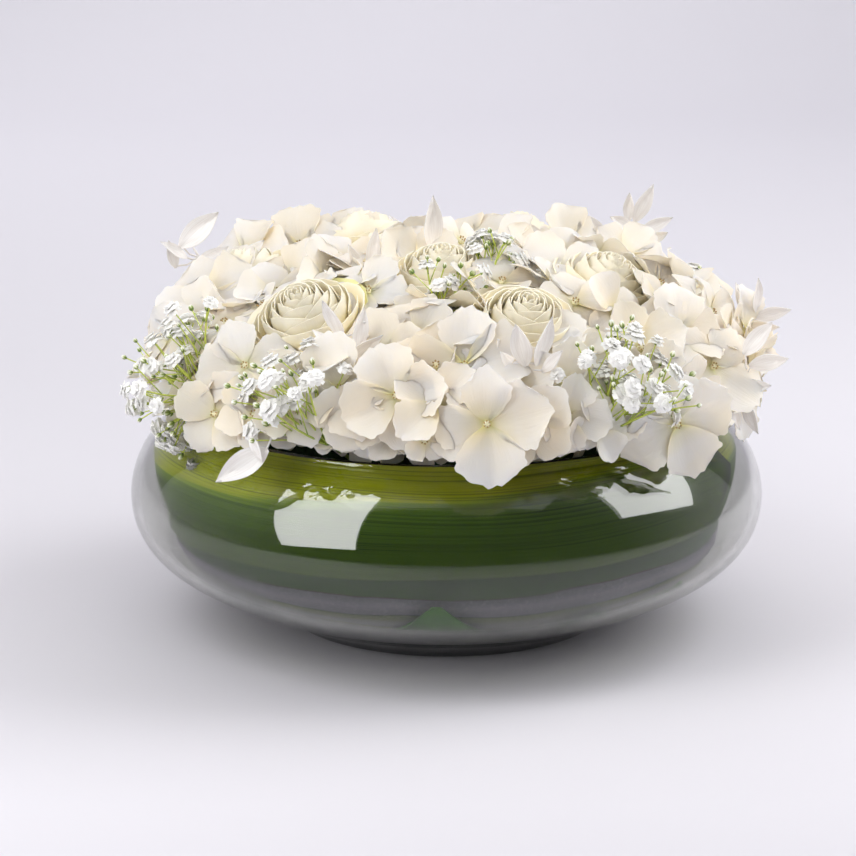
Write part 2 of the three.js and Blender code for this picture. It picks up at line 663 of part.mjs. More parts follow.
// Large florets first, then smaller ones in the gaps, on a second spiral turned against the first
const SPREADS = [
  { count: 78, turn: 0, scales: [1, 0.85, 0.7], seed: 0 },
  { count: 90, turn: 1.3, scales: [0.8, 0.62], seed: 1000 },
];

SPREADS.forEach(({ count, turn, scales, seed }) => {
  for (let i = 0; i < count; i++) {
    const share = shareOfArea((LOWEST_AREA * (i + 0.5)) / count);
    placeFloret(moundAt(share, i * GOLDEN_ANGLE + turn), scales, seed + i);
  }
});

heads.forEach(({ name, pieces }) => addNode(name, joined(pieces), "whiteSepal"));

// A pointed leaf with its widest place below the middle, whose halves rise from the rib
const LEAF_FACES = [[0, 1, 2], [0, 2, 3], [0, 3, 4], [0, 4, 5]];

function ruscusLeaf(base, direction, upward, length) {
  const width = length * 0.2;
  const outline = [
    [0, 0, 0.3], [0.35 * length, -width, 1.2], [0.7 * length, -width * 0.7, 1], [length, 0, 0],
    [0.7 * length, width * 0.7, 1], [0.35 * length, width, 1.2],
  ].map(([x, y, z]) => new THREE.Vector3(x, y, z));
  const side = upward.clone().cross(direction).normalize();
  const matrix = new THREE.Matrix4().makeBasis(direction, side, direction.clone().cross(side));
  return solidOf(blade(outline, [], LEAF_FACES, LEAF_THICKNESS), matrix.setPosition(base));
}

sprays.forEach(({ name, base, tip, lift, leaves, pieces, seed }) => {
  const blades = [];
  for (let k = 0; k < leaves; k++) {
    const share = (k + 1) / leaves;
    const node = base.clone().lerp(tip, 0.25 + 0.75 * share);
    const around = frameAt(ORIGIN, lift, k * 2.4 + seed);
    const side = new THREE.Vector3(1, 0, 0).applyMatrix4(around);
    for (const open of [1.1, 0.75, 0.45, 0.2]) {
      const spread = k === leaves - 1 ? open * 0.3 : open;
      const direction = lift.clone().addScaledVector(side, spread).normalize();
      const leaf = ruscusLeaf(node, direction, lift, RUSCUS_LEAF * (1.05 - 0.2 * share));
      if (isClear(name, leaf) && blades.every((other) => apart(leaf, other))) {
        blades.push(keep(name, leaf));
        break;
      }
    }
  }
  addNode(name, joined([...pieces, ...blades]), "bleachedLeaf");
});

// The foam is a round cake, bevelled at its foot, with a hole for each stem
function foamCake() {
  const bottom = FLOOR_HEIGHT + CLEARANCE;
  const profile = [
    p2(0, bottom), p2(FLOOR_RADIUS - 6, bottom), p2(FOAM_RADIUS, bottom + 7), p2(FOAM_RADIUS, FOAM_TOP),
    p2(0, FOAM_TOP),
  ];
  const cake = solidOf(new THREE.LatheGeometry(profile, 24).rotateX(Math.PI / 2));
  return mainBody(foamHoles.reduce((foam, hole) => foam.subtract(hole), cake));
}

addNode("floral_foam", foamCake(), "foam");

export default centrepiece;
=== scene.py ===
# %% [markdown]
# A low round glass bowl is lined with long striped leaves and filled with a cake of soaked floral foam. The foam
# holds a mound of white hydrangeas and cream roses, with gypsophila and bleached ruscus between them.
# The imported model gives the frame: each plain solid in it is either given a finish here or replaced by a finer
# piece in the same place. All shapes are worked out in millimetres, because that is how a florist would measure
# them, and are turned to metres when they go into a mesh.

# %% Load the frame
from math import comb

import bpy
import numpy as np
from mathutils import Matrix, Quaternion, Vector


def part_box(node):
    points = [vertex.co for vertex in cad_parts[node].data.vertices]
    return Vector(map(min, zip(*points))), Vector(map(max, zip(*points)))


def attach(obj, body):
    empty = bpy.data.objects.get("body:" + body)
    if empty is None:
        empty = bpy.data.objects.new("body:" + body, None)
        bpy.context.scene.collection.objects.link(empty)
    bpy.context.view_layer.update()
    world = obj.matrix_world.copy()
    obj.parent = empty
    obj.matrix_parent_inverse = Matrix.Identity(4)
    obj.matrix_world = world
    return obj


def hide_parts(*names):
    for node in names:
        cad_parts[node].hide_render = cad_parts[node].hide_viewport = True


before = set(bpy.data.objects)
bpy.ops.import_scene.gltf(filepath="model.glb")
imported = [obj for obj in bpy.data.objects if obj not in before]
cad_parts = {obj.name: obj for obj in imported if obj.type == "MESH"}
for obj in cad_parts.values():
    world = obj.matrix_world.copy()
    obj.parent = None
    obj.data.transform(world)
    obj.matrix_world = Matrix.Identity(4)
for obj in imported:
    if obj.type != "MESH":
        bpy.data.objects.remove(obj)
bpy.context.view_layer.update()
random = np.random.default_rng(7)
MM = 0.001
print("solids in the frame:", len(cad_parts))

# %% [markdown]
# Every piece is a surface on a grid of points. A petal or a leaf is a thin sheet, so its grid is doubled: one copy
# lies in front, one behind, and a border of faces closes the edge. One function puts any number of such parts,
# each with its own material, into one mesh.

# %% A mesh from parts
SHARP_ANGLE = 48


def add_piece(node, ending, parts):
    """One closed mesh in a node's place and named for it, from parts of (points in mm, quads, uv) and a material. It
    rides on the object's body."""
    points, quads, uvs = zip(*[part for part, material in parts])
    starts = np.cumsum([0] + [len(some) for some in points])
    corners = np.concatenate([some + start for some, start in zip(quads, starts)])
    mesh = bpy.data.meshes.new(node + ending)
    mesh.from_pydata(np.concatenate(points) * MM, [], corners.tolist())
    corner_uv = np.concatenate(uvs)[corners.ravel()]
    mesh.uv_layers.new(name="UVMap").data.foreach_set("uv", corner_uv.astype(np.float32).ravel())
    for part, material in parts:
        mesh.materials.append(material)
    index = np.repeat(np.arange(len(parts)), [len(some) for some in quads])
    mesh.polygons.foreach_set("material_index", index.astype(np.int32))
    mesh.shade_smooth()
    mesh.set_sharp_from_angle(angle=np.radians(SHARP_ANGLE))
    piece = bpy.data.objects.new(node + ending, mesh)
    bpy.context.scene.collection.objects.link(piece)
    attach(piece, "root")
    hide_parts(node)
    print(node + ending, "faces:", len(corners))


# %% Grids, places round the axis and thin sheets
def grid(rows, columns):
    """Two parameters of a sheet: one from 0 to 1 down the rows, and one from -1 to 1 across the columns."""
    return np.linspace(0, 1, rows)[:, None], np.linspace(-1, 1, columns)[None, :]


def unit(vectors):
    """Each vector divided by its length."""
    return vectors / np.maximum(np.linalg.norm(vectors, axis=-1, keepdims=True), 1e-9)


def polar(angle, radius, height, side=0):
    """Points at an angle about the z axis, a radius from it and a height, moved aside at right angles to the radius:
    x is radius times cosine less side times sine, and y is radius times sine plus side times cosine."""
    cosine, sine = np.cos(angle), np.sin(angle)
    return np.stack(np.broadcast_arrays(radius * cosine - side * sine, radius * sine + side * cosine, height), -1)


def closed_sheets(grids, thickness):
    """Thin closed sheets from grids of shape (sheets, rows, columns, 3). The front lies half a thickness out along
    the surface's normal, the back half a thickness in, and quads join their borders. The uv is the share of the
    way along the rows and across the columns."""
    sheets, rows, columns, _ = grids.shape
    normal = unit(np.cross(np.gradient(grids, axis=1), np.gradient(grids, axis=2)))
    both = np.stack([grids + normal * thickness / 2, grids - normal * thickness / 2], axis=1)
    front, back = np.arange(2 * rows * columns).reshape(2, rows, columns)
    border = np.concatenate([front[:-1, 0], front[-1, :-1], front[:0:-1, -1], front[0, :0:-1]])
    behind = border + rows * columns
    quads = np.concatenate([
        np.stack([front[:-1, :-1], front[1:, :-1], front[1:, 1:], front[:-1, 1:]], -1).reshape(-1, 4),
        np.stack([back[:-1, :-1], back[:-1, 1:], back[1:, 1:], back[1:, :-1]], -1).reshape(-1, 4),
        np.stack([border, behind, np.roll(behind, -1), np.roll(border, -1)], -1)])
    faces = quads[None] + np.arange(sheets)[:, None, None] * 2 * rows * columns
    u, v = np.meshgrid(np.linspace(0, 1, rows), np.linspace(0, 1, columns), indexing="ij")
    uv = np.tile(np.stack([u, v], -1).reshape(-1, 2), (2 * sheets, 1))
    return both.reshape(-1, 3), faces.reshape(-1, 4), uv


# %% [markdown]
# A material starts as one shader node. One helper adds each further node with its settings and links and gives back
# its output. Another turns a colour as a designer writes it, in hex, to the linear numbers that light is worked out
# with. A pattern follows either the place on the object, in metres, so a scale of 1000 is a grain of 1 mm, or the
# piece's own uv, where it runs along a leaf or petal. A grain too fine to show is drawn 1 to 2 mm wide.

# %% Colour and node helpers
def linear(code):
    """An sRGB hex colour as linear red, green and blue, with an alpha of 1. A channel plus 0.055, over 1.055, is
    raised to the power 2.4, and one that is almost black is only divided by 12.92."""
    srgb = np.array([int(code[place:place + 2], 16) for place in (0, 2, 4)]) / 255
    rgb = np.where(srgb <= 0.04045, srgb / 12.92, ((srgb + 0.055) / 1.055) ** 2.4)
    return (*rgb.tolist(), 1.0)


def connect(tree, node, sockets):
    """Gives each socket of a node another node's output, a hex colour or a plain value."""
    for socket, value in sockets.items():
        if isinstance(value, bpy.types.NodeSocket):
            tree.links.new(value, node.inputs[socket])
        else:
            node.inputs[socket].default_value = linear(value) if isinstance(value, str) else value


def add(tree, kind, sockets={}, stops=(), out=0, **settings):
    """Adds a node and gives back one of its outputs. A colour ramp takes its stops, each a place and a hex colour."""
    node = tree.nodes.new("ShaderNode" + kind)
    for key, value in settings.items():
        setattr(node, key, value)
    connect(tree, node, sockets)
    for number, (place, code) in enumerate(stops):
        elements = node.color_ramp.elements
        element = elements[number] if number < len(elements) else elements.new(place)
        element.position, element.color = place, linear(code)
    return node.outputs[out]


def start_material(name):
    """A new material and its node tree."""
    material = bpy.data.materials.new(name)
    material.use_nodes = True
    return material, material.node_tree


def finish_surface(tree, sockets, height=None, strength=0.2, depth_mm=0.3):
    """Gives the shader its colours and numbers, and a height as relief of a depth."""
    if height is not None:
        bump = {"Strength": strength, "Distance": depth_mm * MM, "Height": height}
        sockets = {**sockets, "Normal": add(tree, "Bump", bump)}
    connect(tree, tree.nodes["Principled BSDF"], sockets)


# %% Patterns that several finishes share
TINTED = {"out": 2, "data_type": "RGBA", "blend_type": "MULTIPLY"}


def long_streaks(tree, lengthwise, crosswise, detail):
    """Noise on the piece's own uv, stretched so that it has so many turns along the piece and so many across it."""
    stretch = {0: add(tree, "UVMap"), 1: (lengthwise, crosswise, 1.0)}
    stretched = add(tree, "VectorMath", stretch, operation="MULTIPLY")
    return add(tree, "TexNoise", {"Vector": stretched, "Scale": 1.0, "Detail": detail})


def mottled(name, kind, pattern, tones, relief, sockets, stretch=(1.0, 1.0, 1.0)):
    """A material in tones that follow one pattern on the place, in metres, with the same pattern as its relief."""
    material, tree = start_material(name)
    place = {0: add(tree, "TexCoord", out="Object"), 1: stretch}
    height = add(tree, kind, {"Vector": add(tree, "VectorMath", place, operation="MULTIPLY"), **pattern})
    finish_surface(tree, {"Base Color": add(tree, "ValToRGB", {"Fac": height}, tones), **sockets}, height, *relief)
    return material


def lit_through(weight, colour, reach_mm=3):
    """Settings for light that enters a thin part and leaves it again, tinted, up to a reach away."""
    return {"Subsurface Weight": weight, "Subsurface Radius": colour, "Subsurface Scale": reach_mm * MM}


def small_part(name, low, high, sockets):
    """A material that goes from one colour to another along the part, with a fine grain."""
    material, tree = start_material(name)
    along = add(tree, "SeparateXYZ", {"Vector": add(tree, "UVMap")}, out="X")
    grain = add(tree, "TexNoise", {"Vector": add(tree, "TexCoord", out="Object"), "Scale": 600.0, "Detail": 2.0})
    drift = add(tree, "Math", {0: grain, 1: 0.5, 2: along}, operation="MULTIPLY_ADD")
    tone = add(tree, "ValToRGB", {"Fac": drift}, [(0.25, low), (1.1 / 1.5, high)])
    finish_surface(tree, {"Base Color": tone, **sockets}, grain, 0.2, 0.2)
    return material


# %% [markdown]
# The bowl is mouth-blown soda-lime glass: a thick flat foot, a wide low belly, and a shoulder that turns in to a
# fire-polished rim. A lathe profile gives the whole surface, outside and inside, in one closed turn. The profile is
# made of cubic curves through the same driving sizes as the solid in the frame, so light bends in a real wall.

# %% The bowl's profile
bowl_low, bowl_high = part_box("glass_bowl")
BOWL_RADIUS = (bowl_high.x - bowl_low.x) / 2 / MM
BOWL_HEIGHT = (bowl_high.z - bowl_low.z) / MM
WIDEST_HEIGHT, RIM_RADIUS, FOOT_RADIUS = 62, 126, 73
GLASS_WALL, FLOOR_HEIGHT, FOOT_RING, FOOT_RISE, SHOULDER_TOP, LIP_RADIUS = 4, 9, 66, 2.5, 102, 123.6


def bezier(points, count):
    """Points at equal steps along a curve: each control point weighted by its Bernstein share, a binomial number
    times a power of 1 - t and a power of t."""
    t = np.linspace(0, 1, count)[:, None]
    last = len(points) - 1
    return sum(comb(last, k) * (1 - t) ** (last - k) * t ** k * np.array(point, float)
               for k, point in enumerate(points))


# Each control point is a radius and a height in mm.
belly_start, shoulder_end, lip = (FOOT_RADIUS + 4, FOOT_RISE), (RIM_RADIUS, SHOULDER_TOP), (LIP_RADIUS, BOWL_HEIGHT)
belly = bezier([belly_start, (93, 17.6), (BOWL_RADIUS, 21.9), (BOWL_RADIUS, WIDEST_HEIGHT)], 30)
shoulder = bezier([(BOWL_RADIUS, WIDEST_HEIGHT), (BOWL_RADIUS, 77.5), (139.5, 93.5), shoulder_end], 24)
outside = np.concatenate([belly, shoulder[1:]])
along = unit(np.gradient(outside, axis=0))
inside = outside + GLASS_WALL * np.stack([-along[:, 1], along[:, 0]], -1)
inside = inside[inside[:, 1] > FLOOR_HEIGHT + 2]
foot_edge = bezier([(FOOT_RING, 0), (70, 0), (FOOT_RADIUS + 1, 0), belly_start], 8)
outer_lip = bezier([shoulder_end, (124.6, 102.9), (124.9, BOWL_HEIGHT), lip], 7)
inner_lip = bezier([lip, (122.1, BOWL_HEIGHT), (121.0, 100.4), inside[-1]], 8)
floor_edge = bezier([inside[0], (66, 10), (60, FLOOR_HEIGHT), (50, FLOOR_HEIGHT)], 10)
underside = np.array([(0, 1.6), (24, 1.5), (46, 1.2), (60, 0.7), (FOOT_RING, 0)])
floor = np.array([(30, FLOOR_HEIGHT), (0, FLOOR_HEIGHT)])
profile = np.concatenate([
    underside[:-1], foot_edge, outside[1:], outer_lip[1:], inner_lip[1:], inside[::-1][1:], floor_edge[1:], floor])
INNER_SHARE = (len(underside) + len(foot_edge) + len(outside) + len(outer_lip)) / len(profile)
print("bowl profile points:", len(profile))


def inside_radius(height):
    """The radius of the bowl's inner wall at a height."""
    return np.interp(height, inside[:, 1], inside[:, 0])


# %% A surface of revolution
def lathe(profile, sides):
    """A profile of (radius, height) carried once round the z axis, with an even number of sides. Both its ends lie
    on the axis, where each quad joins the pole to three neighbours on the ring."""
    angle = np.linspace(0, 2 * np.pi, sides, endpoint=False)[:, None]
    radius, height = profile[1:-1, 0], profile[1:-1, 1]
    ring = polar(angle, radius, height)
    index = np.arange(ring.size // 3).reshape(sides, -1)
    after, second = np.roll(index, -1, axis=0), np.roll(index, -2, axis=0)
    low, high = np.full(sides // 2, index.size), np.full(sides // 2, index.size + 1)
    faces = np.concatenate([
        np.stack([index[:, :-1], after[:, :-1], after[:, 1:], index[:, 1:]], -1).reshape(-1, 4),
        np.stack([low, second[::2, 0], after[::2, 0], index[::2, 0]], -1),
        np.stack([high, index[::2, -1], after[::2, -1], second[::2, -1]], -1)])
    points = np.concatenate([ring.reshape(-1, 3), [(0, 0, profile[0, 1]), (0, 0, profile[-1, 1])]])
    share = np.broadcast_arrays(angle / (2 * np.pi), np.linspace(0, 1, len(radius)))
    uv = np.concatenate([np.stack(share, -1).reshape(-1, 2), [(0, 0), (0, 1)]])
    return points, faces, uv


# %% [markdown]
# Clear glass takes all its look from how it bends and mirrors light, so the shader is a transmitting one with the
# refractive index of soda-lime glass, 1.52, and a hint of grey. The inner wall carries a breath of condensation in
# clouds some 60 mm wide, so the roughness rises there, and the wet specks are drawn as fine relief, 1 mm wide.

# %% Soda-lime glass, mouth-blown
def clear_glass():
    """The roughness is a ramp of soft noise, times one on the inner wall and nothing on the outer. The relief is fine
    noise."""
    material, tree = start_material("soda_lime_glass_mouth_blown")
    place = add(tree, "TexCoord", out="Object")
    clouds = add(tree, "TexNoise", {"Vector": place, "Scale": 16.0, "Detail": 5.0})
    haze = add(tree, "ValToRGB", {"Fac": clouds}, [(0.46, "141414"), (0.66, "747474")])
    profile_share = add(tree, "SeparateXYZ", {"Vector": add(tree, "UVMap")}, out="Y")
    inner = add(tree, "Math", {0: profile_share, 1: INNER_SHARE}, operation="GREATER_THAN")
    breath = add(tree, "Math", {0: haze, 1: inner}, operation="MULTIPLY")
    specks = add(tree, "TexNoise", {"Vector": place, "Scale": 900.0, "Detail": 1.0})
    finish_surface(tree, {"Base Color": "D9DAD6", "Roughness": breath, "Transmission Weight": 1.0, "IOR": 1.52},
                   specks, 0.02, 0.1)
    return material


BOWL_SIDES = 144
add_piece("glass_bowl", "_blown", [(lathe(profile, BOWL_SIDES), clear_glass())])

# %% [markdown]
# Three long leaves stand on edge inside the glass, each lapping the next. Such a leaf is a stiff strap: bent into a
# ring it springs out against the narrow shoulder and stays upright below it, so a clear margin of glass shows at
# both sides. It could be a flat strip bent by a modifier, but a grid that follows the wall's own radius fits it
# exactly, so each leaf is worked out from its azimuth and height.

# %% Leaves along the wall
LEAF_THICKNESS, LEAF_STEP, LEAF_COLUMNS, EDGE_WAVE = 0.7, 2.5, 15, 0.8


def leaf_sheet(azimuths, low, high, taper, radius_at):
    """A leaf on edge between a lower edge, which may rise along it, and an upper one. Its radius follows its height.
    Its edges wave a little and close to a rounded point at both ends, over a share of the length."""
    count = int(abs(azimuths[1] - azimuths[0]) / LEAF_STEP) + 1
    angle = np.radians(np.linspace(*azimuths, count))[:, None]
    u, v = np.linspace(0, 1, count)[:, None], np.linspace(0, 1, LEAF_COLUMNS)[None, :]
    low = np.interp(u, (0, 1), low)
    opened = np.clip(np.minimum(u, 1 - u) / taper, 0.02, 1) ** 0.5
    wave = EDGE_WAVE * np.sin(5 * angle + 4 * v) * np.sin(2 * angle + 1)
    height = (high + low) / 2 + (high - low) / 2 * opened * (2 * v - 1) + wave
    return closed_sheets(polar(angle, radius_at(height), height)[None], LEAF_THICKNESS)


# %% [markdown]
# The leaf is fresh, with a waxy skin that mirrors weakly. Its upper edge is its own yellow-green band, painted
# brighter than the leaf is, as painted light for the light that comes through the glass. The rest is deep green,
# with fine darker stripes along it and dried brown ends. The colour follows the leaf and not the bowl, so it is
# painted by the leaf's own uv, u along it and v across it, and the band rises a little along u.

# %% Strap leaf, fresh and striped
def striped_leaf():
    """The colour is a ramp of v less 0.4 times u, plus 0.22 and 0.12 times some streaks. It is multiplied by a ramp of
    finer streaks and by the brown of the ends."""
    material, tree = start_material("strap_leaf_fresh_striped")
    along, across = [add(tree, "SeparateXYZ", {"Vector": add(tree, "UVMap")}, out=axis) for axis in "XY"]
    tilt = add(tree, "Math", {0: along, 1: -0.4, 2: 0.22}, operation="MULTIPLY_ADD")
    rising = add(tree, "Math", {0: tilt, 1: across}, operation="ADD")
    drift = add(tree, "Math", {0: long_streaks(tree, 1.6, 34.0, 4.0), 1: 0.12, 2: rising}, operation="MULTIPLY_ADD")
    # Painted light: the top stops, the yellow-green edge, are brighter than the leaf to stand in for light through the
    # glass.
    bands_and_painted_light = add(tree, "ValToRGB", {"Fac": drift}, [
        (0.0, "5C7818"), (0.12, "54720F"), (0.4, "547409"), (0.6, "62880B"), (0.74, "70980D"), (0.8, "A8CC14"),
        (0.83, "E6F220"), (1.0, "F2FC3A")])
    lines = long_streaks(tree, 0.7, 90.0, 2.0)
    dark = add(tree, "ValToRGB", {"Fac": lines}, [(0.36, "6E8450"), (0.46, "FFFFFF")])
    ends = add(tree, "ValToRGB", {"Fac": along}, [
        (0.0, "5A4426"), (0.035, "FFFFFF"), (0.965, "FFFFFF"), (1.0, "5A4426")])
    veined = add(tree, "Mix", {0: 0.55, 6: bands_and_painted_light, 7: dark}, **TINTED)
    browned = add(tree, "Mix", {0: 1.0, 6: veined, 7: ends}, **TINTED)
    finish_surface(tree, {"Base Color": browned, "Roughness": 0.5, "Specular IOR Level": 0.15}, lines, 0.35, 0.4)
    return material


# %% Lining leaves
LINING_LOW, LINING_HIGH, LINING_RADIUS, LINING_BELLY, LINING_TAPER = 55, 102.5, 133, 5, 0.06
# Each row: the azimuths of the leaf's ends, how far it stands in from the wall, and its lower edge at both ends.
LINING_LEAVES = [(-180, -20, 0.8, 49, 60), (-60, 100, 2.0, 58, 55), (80, 220, 3.2, 55, 52)]


def lining_radius(height):
    """The wall's radius, or where that is more, a fixed radius and a slight belly between the leaf's edges. Above
    the wall's end the leaf leans in past the lip."""
    share = np.clip((height - LINING_LOW) / (LINING_HIGH - LINING_LOW), 0, 1)
    wall = inside_radius(height) - 1.6 * np.clip(height - inside[-1, 1], 0, 2)
    return np.minimum(wall, LINING_RADIUS + LINING_BELLY * np.sin(np.pi * share))


strap_leaf = striped_leaf()
for number, (start, end, offset, *low) in enumerate(LINING_LEAVES, 1):
    leaf = leaf_sheet((start, end), low, LINING_HIGH, LINING_TAPER, lambda height: lining_radius(height) - offset)
    add_piece(f"lining_leaf_{number}", "_veined", [(leaf, strap_leaf)])

# %% [markdown]
# Below the strap leaves two broad leaves lie on the belly's slope with their backs to the glass. A leaf's back is
# matt and grey-green. Over it the colour carries painted reflection: pale lilac and grey bands that follow the leaf
# and stand for the studio mirrored in the wet glass. It also carries a painted yellow-green glow near the foot. The
# bands are one colour ramp across the leaf, and fine drops of about 1.5 mm lighten it where it touches the glass,
# as a painted white haze.

# %% Leaf underside behind wet glass
def grey_leaf():
    """The colour is a ramp of v less 0.14 times u, plus 0.12 times some streaks. Its lilac and grey bands are painted
    reflection and its yellow-green foot is a painted glow. Where that sum is under 0.69, a quarter of the drops'
    white, a painted haze, is screened over it."""
    material, tree = start_material("leaf_underside_painted_reflection")
    along, across = [add(tree, "SeparateXYZ", {"Vector": add(tree, "UVMap")}, out=axis) for axis in "XY"]
    rising = add(tree, "Math", {0: along, 1: -0.14, 2: across}, operation="MULTIPLY_ADD")
    drift = add(tree, "Math", {0: long_streaks(tree, 6.0, 3.0, 3.0), 1: 0.12, 2: rising}, operation="MULTIPLY_ADD")
    # Painted reflection and glow: the lilac and grey stops stand for the studio mirrored in the glass, and the first,
    # yellow-green stop is a glow at the foot. The olive and deep green stops are the leaf's own colour.
    bands_and_painted_light = add(tree, "ValToRGB", {"Fac": drift}, [
        (0.08, "B4C83C"), (0.18, "9C9E84"), (0.3, "C4C3CB"), (0.4, "8A8F68"), (0.455, "6C7A3C"), (0.462, "1E1A0E"),
        (0.475, "85828E"), (0.58, "A3A0AD"), (0.675, "75727E"), (0.685, "3A2414"), (0.695, "365C0C"),
        (1.0, "365C08")])
    place = add(tree, "TexCoord", out="Object")
    # Painted haze: the drops' white stands for light scattered by the wet glass.
    drops = add(tree, "TexNoise", {"Vector": place, "Scale": 700.0, "Detail": 3.0, "Roughness": 0.7})
    bloom = add(tree, "ValToRGB", {"Fac": drops}, [(0.5, "000000"), (0.8, "FFFFFF")])
    below = add(tree, "Math", {0: drift, 1: 0.69}, operation="LESS_THAN")
    share = add(tree, "Math", {0: below, 1: 0.25}, operation="MULTIPLY")
    white = add(tree, "Mix", {0: share, 6: bands_and_painted_light, 7: bloom}, out=2, data_type="RGBA", blend_type="SCREEN")
    finish_surface(tree, {"Base Color": white, "Specular IOR Level": 0.2, "Roughness": 0.55}, drops, 0.3, 0.3)
    return material


# %% Under leaves
UNDER_LOW, UNDER_HIGH, UNDER_BEND, UNDER_TOP_RADIUS, UNDER_OFFSET, UNDER_TAPER = 19, 58, 29, 127, 2.3, 0.02
UNDER_LEAVES = [(-180, 0), (20, 160)]


def under_radius(height):
    """The wall's radius less an offset, and less a lean that grows evenly above the bend to a fixed top radius."""
    lean = inside_radius(UNDER_HIGH) - UNDER_OFFSET - UNDER_TOP_RADIUS
    above_bend = np.clip(height - UNDER_BEND, 0, 99)
    return inside_radius(height) - UNDER_OFFSET - lean * above_bend / (UNDER_HIGH - UNDER_BEND)


underside_painted_reflection = grey_leaf()
for number, azimuths in enumerate(UNDER_LEAVES, 1):
    leaf = leaf_sheet(azimuths, (UNDER_LOW, UNDER_LOW), UNDER_HIGH, UNDER_TAPER, under_radius)
    add_piece(f"under_leaf_{number}", "_wet", [(leaf, underside_painted_reflection)])

# %% [markdown]
# Trimming the leaves leaves pointed scraps, which have slid down between leaf and glass. They are the same fresh
# green as the leaf's face, mottled in patches of about 11 mm, and cut straight on two sides.

# %% Leaf scraps
SCRAP_OFFSET, SCRAP_THICKNESS = 1.05, 0.6
# Each row: the scrap's azimuth, the height of its middle, half its width and its height.
LEAF_CUTS = [(-92, 37.5, 21, 18), (-60, 31, 17, 9), (-42, 38, 9, 12), (110, 34, 15, 10)]


def leaf_scrap(azimuth, height, half, rise):
    """A scrap on the wall that narrows from its foot to its top: the width is cut by nine tenths on the way up."""
    t, v = grid(9, 9)
    z = height + (t - 0.5) * rise + 0 * v
    radius = inside_radius(z) - SCRAP_OFFSET
    angle = np.radians(azimuth) - v * half * (1 - 0.9 * t) / radius
    return closed_sheets(polar(angle, radius, z)[None], SCRAP_THICKNESS)


scrap_leaf = mottled("strap_leaf_fresh_scrap", "TexNoise", {"Scale": 90.0, "Detail": 3.0},
                     [(0.3, "3C8208"), (0.7, "54A010")], (0.2, 0.3), {"Specular IOR Level": 0.2, "Roughness": 0.45})
for number, cut in enumerate(LEAF_CUTS, 1):
    add_piece(f"leaf_cut_{number}", "_crisp", [(leaf_scrap(*cut), scrap_leaf)])

# %% [markdown]
# The foam cake and the thick stems are right as the frame has them, and hardly show. They only get a finish. The
# foam is soaked phenolic foam: matt, dark from the water, with open cells drawn 2 mm wide so that they show. The
# stems are fresh green ones, half matt, with fine ribs that run up them.

# %% Finishes for the carried-over solids
soaked_foam = mottled("phenolic_foam_soaked", "TexVoronoi", {"Scale": 500.0},
                      [(0.0, "1C3017"), (0.7, "33502A")], (0.5, 0.6), {"Roughness": 0.9})
fresh_stem = mottled("flower_stem_fresh", "TexNoise", {"Scale": 900.0, "Detail": 2.0},
                     [(0.3, "4C6420"), (0.7, "7E9440")], (0.3, 0.3), {"Roughness": 0.5}, stretch=(1.0, 1.0, 0.1))
carried = [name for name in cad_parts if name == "floral_foam" or name.endswith("_stem")]
for name in carried:
    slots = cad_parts[name].data.materials
    slots.clear()
    slots.append(soaked_foam if name == "floral_foam" else fresh_stem)
print("solids kept with a new finish:", len(carried))

# %% [markdown]
# All the flowers sit on one low dome. Its outline is a superellipse: flatter on top than a ball and steeper at the
# side, where the outer flowers hang over the rim. A point on it is given by its azimuth and by its turn, an angle
# that runs from 0 at the top to a quarter turn at the rim. Flowers could be scattered over it by chance, but a
# spread by the golden angle leaves no gap and no heap.

# %% The dome of flowers
MOUND_RADIUS, MOUND_BASE, MOUND_RISE, MOUND_POWER = 141, 108, 69, 2.4
GOLDEN_ANGLE, DOME_STEPS = np.pi * (3 - 5 ** 0.5), 400


def dome(azimuth, turn):
    """Points on the dome at azimuths in degrees, and its normals: r / R and z / H, each to the power p, add up to
    one."""
    power = 2 / MOUND_POWER
    sine, cosine, angle = np.sin(turn), np.cos(turn), np.radians(azimuth)
    points = polar(angle, MOUND_RADIUS * sine ** power, MOUND_BASE + MOUND_RISE * cosine ** power)
    return points, unit(polar(angle, sine ** (2 - power) / MOUND_RADIUS, cosine ** (2 - power) / MOUND_RISE))


def turn_at(radius):
    """The turn at which the dome has this radius: the sine of the turn is r / R to the power p / 2."""
    return np.arcsin(np.minimum(np.asarray(radius) / MOUND_RADIUS, 1) ** (MOUND_POWER / 2))


def spread(count, first):
    """Evenly spread places: each gets the same share of the dome's area and stands a golden angle from the last."""
    turn = np.linspace(0, np.pi / 2, DOME_STEPS)
    points = dome(np.zeros(DOME_STEPS), turn)[0]
    steps = np.linalg.norm(np.diff(points, axis=0, prepend=points[:1]), axis=1)
    area = np.cumsum(steps * points[:, 0])
    shares = (np.arange(count) + 0.5) / count * area[-1]
    return np.degrees(first + np.arange(count) * GOLDEN_ANGLE), np.interp(shares, area, turn)


NEARLY_UPRIGHT = 0.98


def place(grids, centres, axes, spins):
    """Each grid's own z axis is laid along an axis, the grid is spun about it by an angle and moved to its centre.
    Before the spin its x axis is level and its y axis points up the slope, or to the back on an upright axis."""
    upright = np.abs(axes[:, 2:]) > NEARLY_UPRIGHT
    across = unit(np.cross(np.where(upright, (0, 1.0, 0), (0, 0, 1.0)), axes))
    upward = np.cross(axes, across)
    cosine, sine = np.cos(spins)[:, None], np.sin(spins)[:, None]
    turned = np.stack([across * cosine + upward * sine, upward * cosine - across * sine, axes], 1)
    return np.einsum("n...k,nkl->n...l", grids, turned) + centres.reshape(-1, *[1] * (grids.ndim - 2), 3)


# %% Tubes, for stems, twigs, stamens, cups and buds
STEEP = 0.8


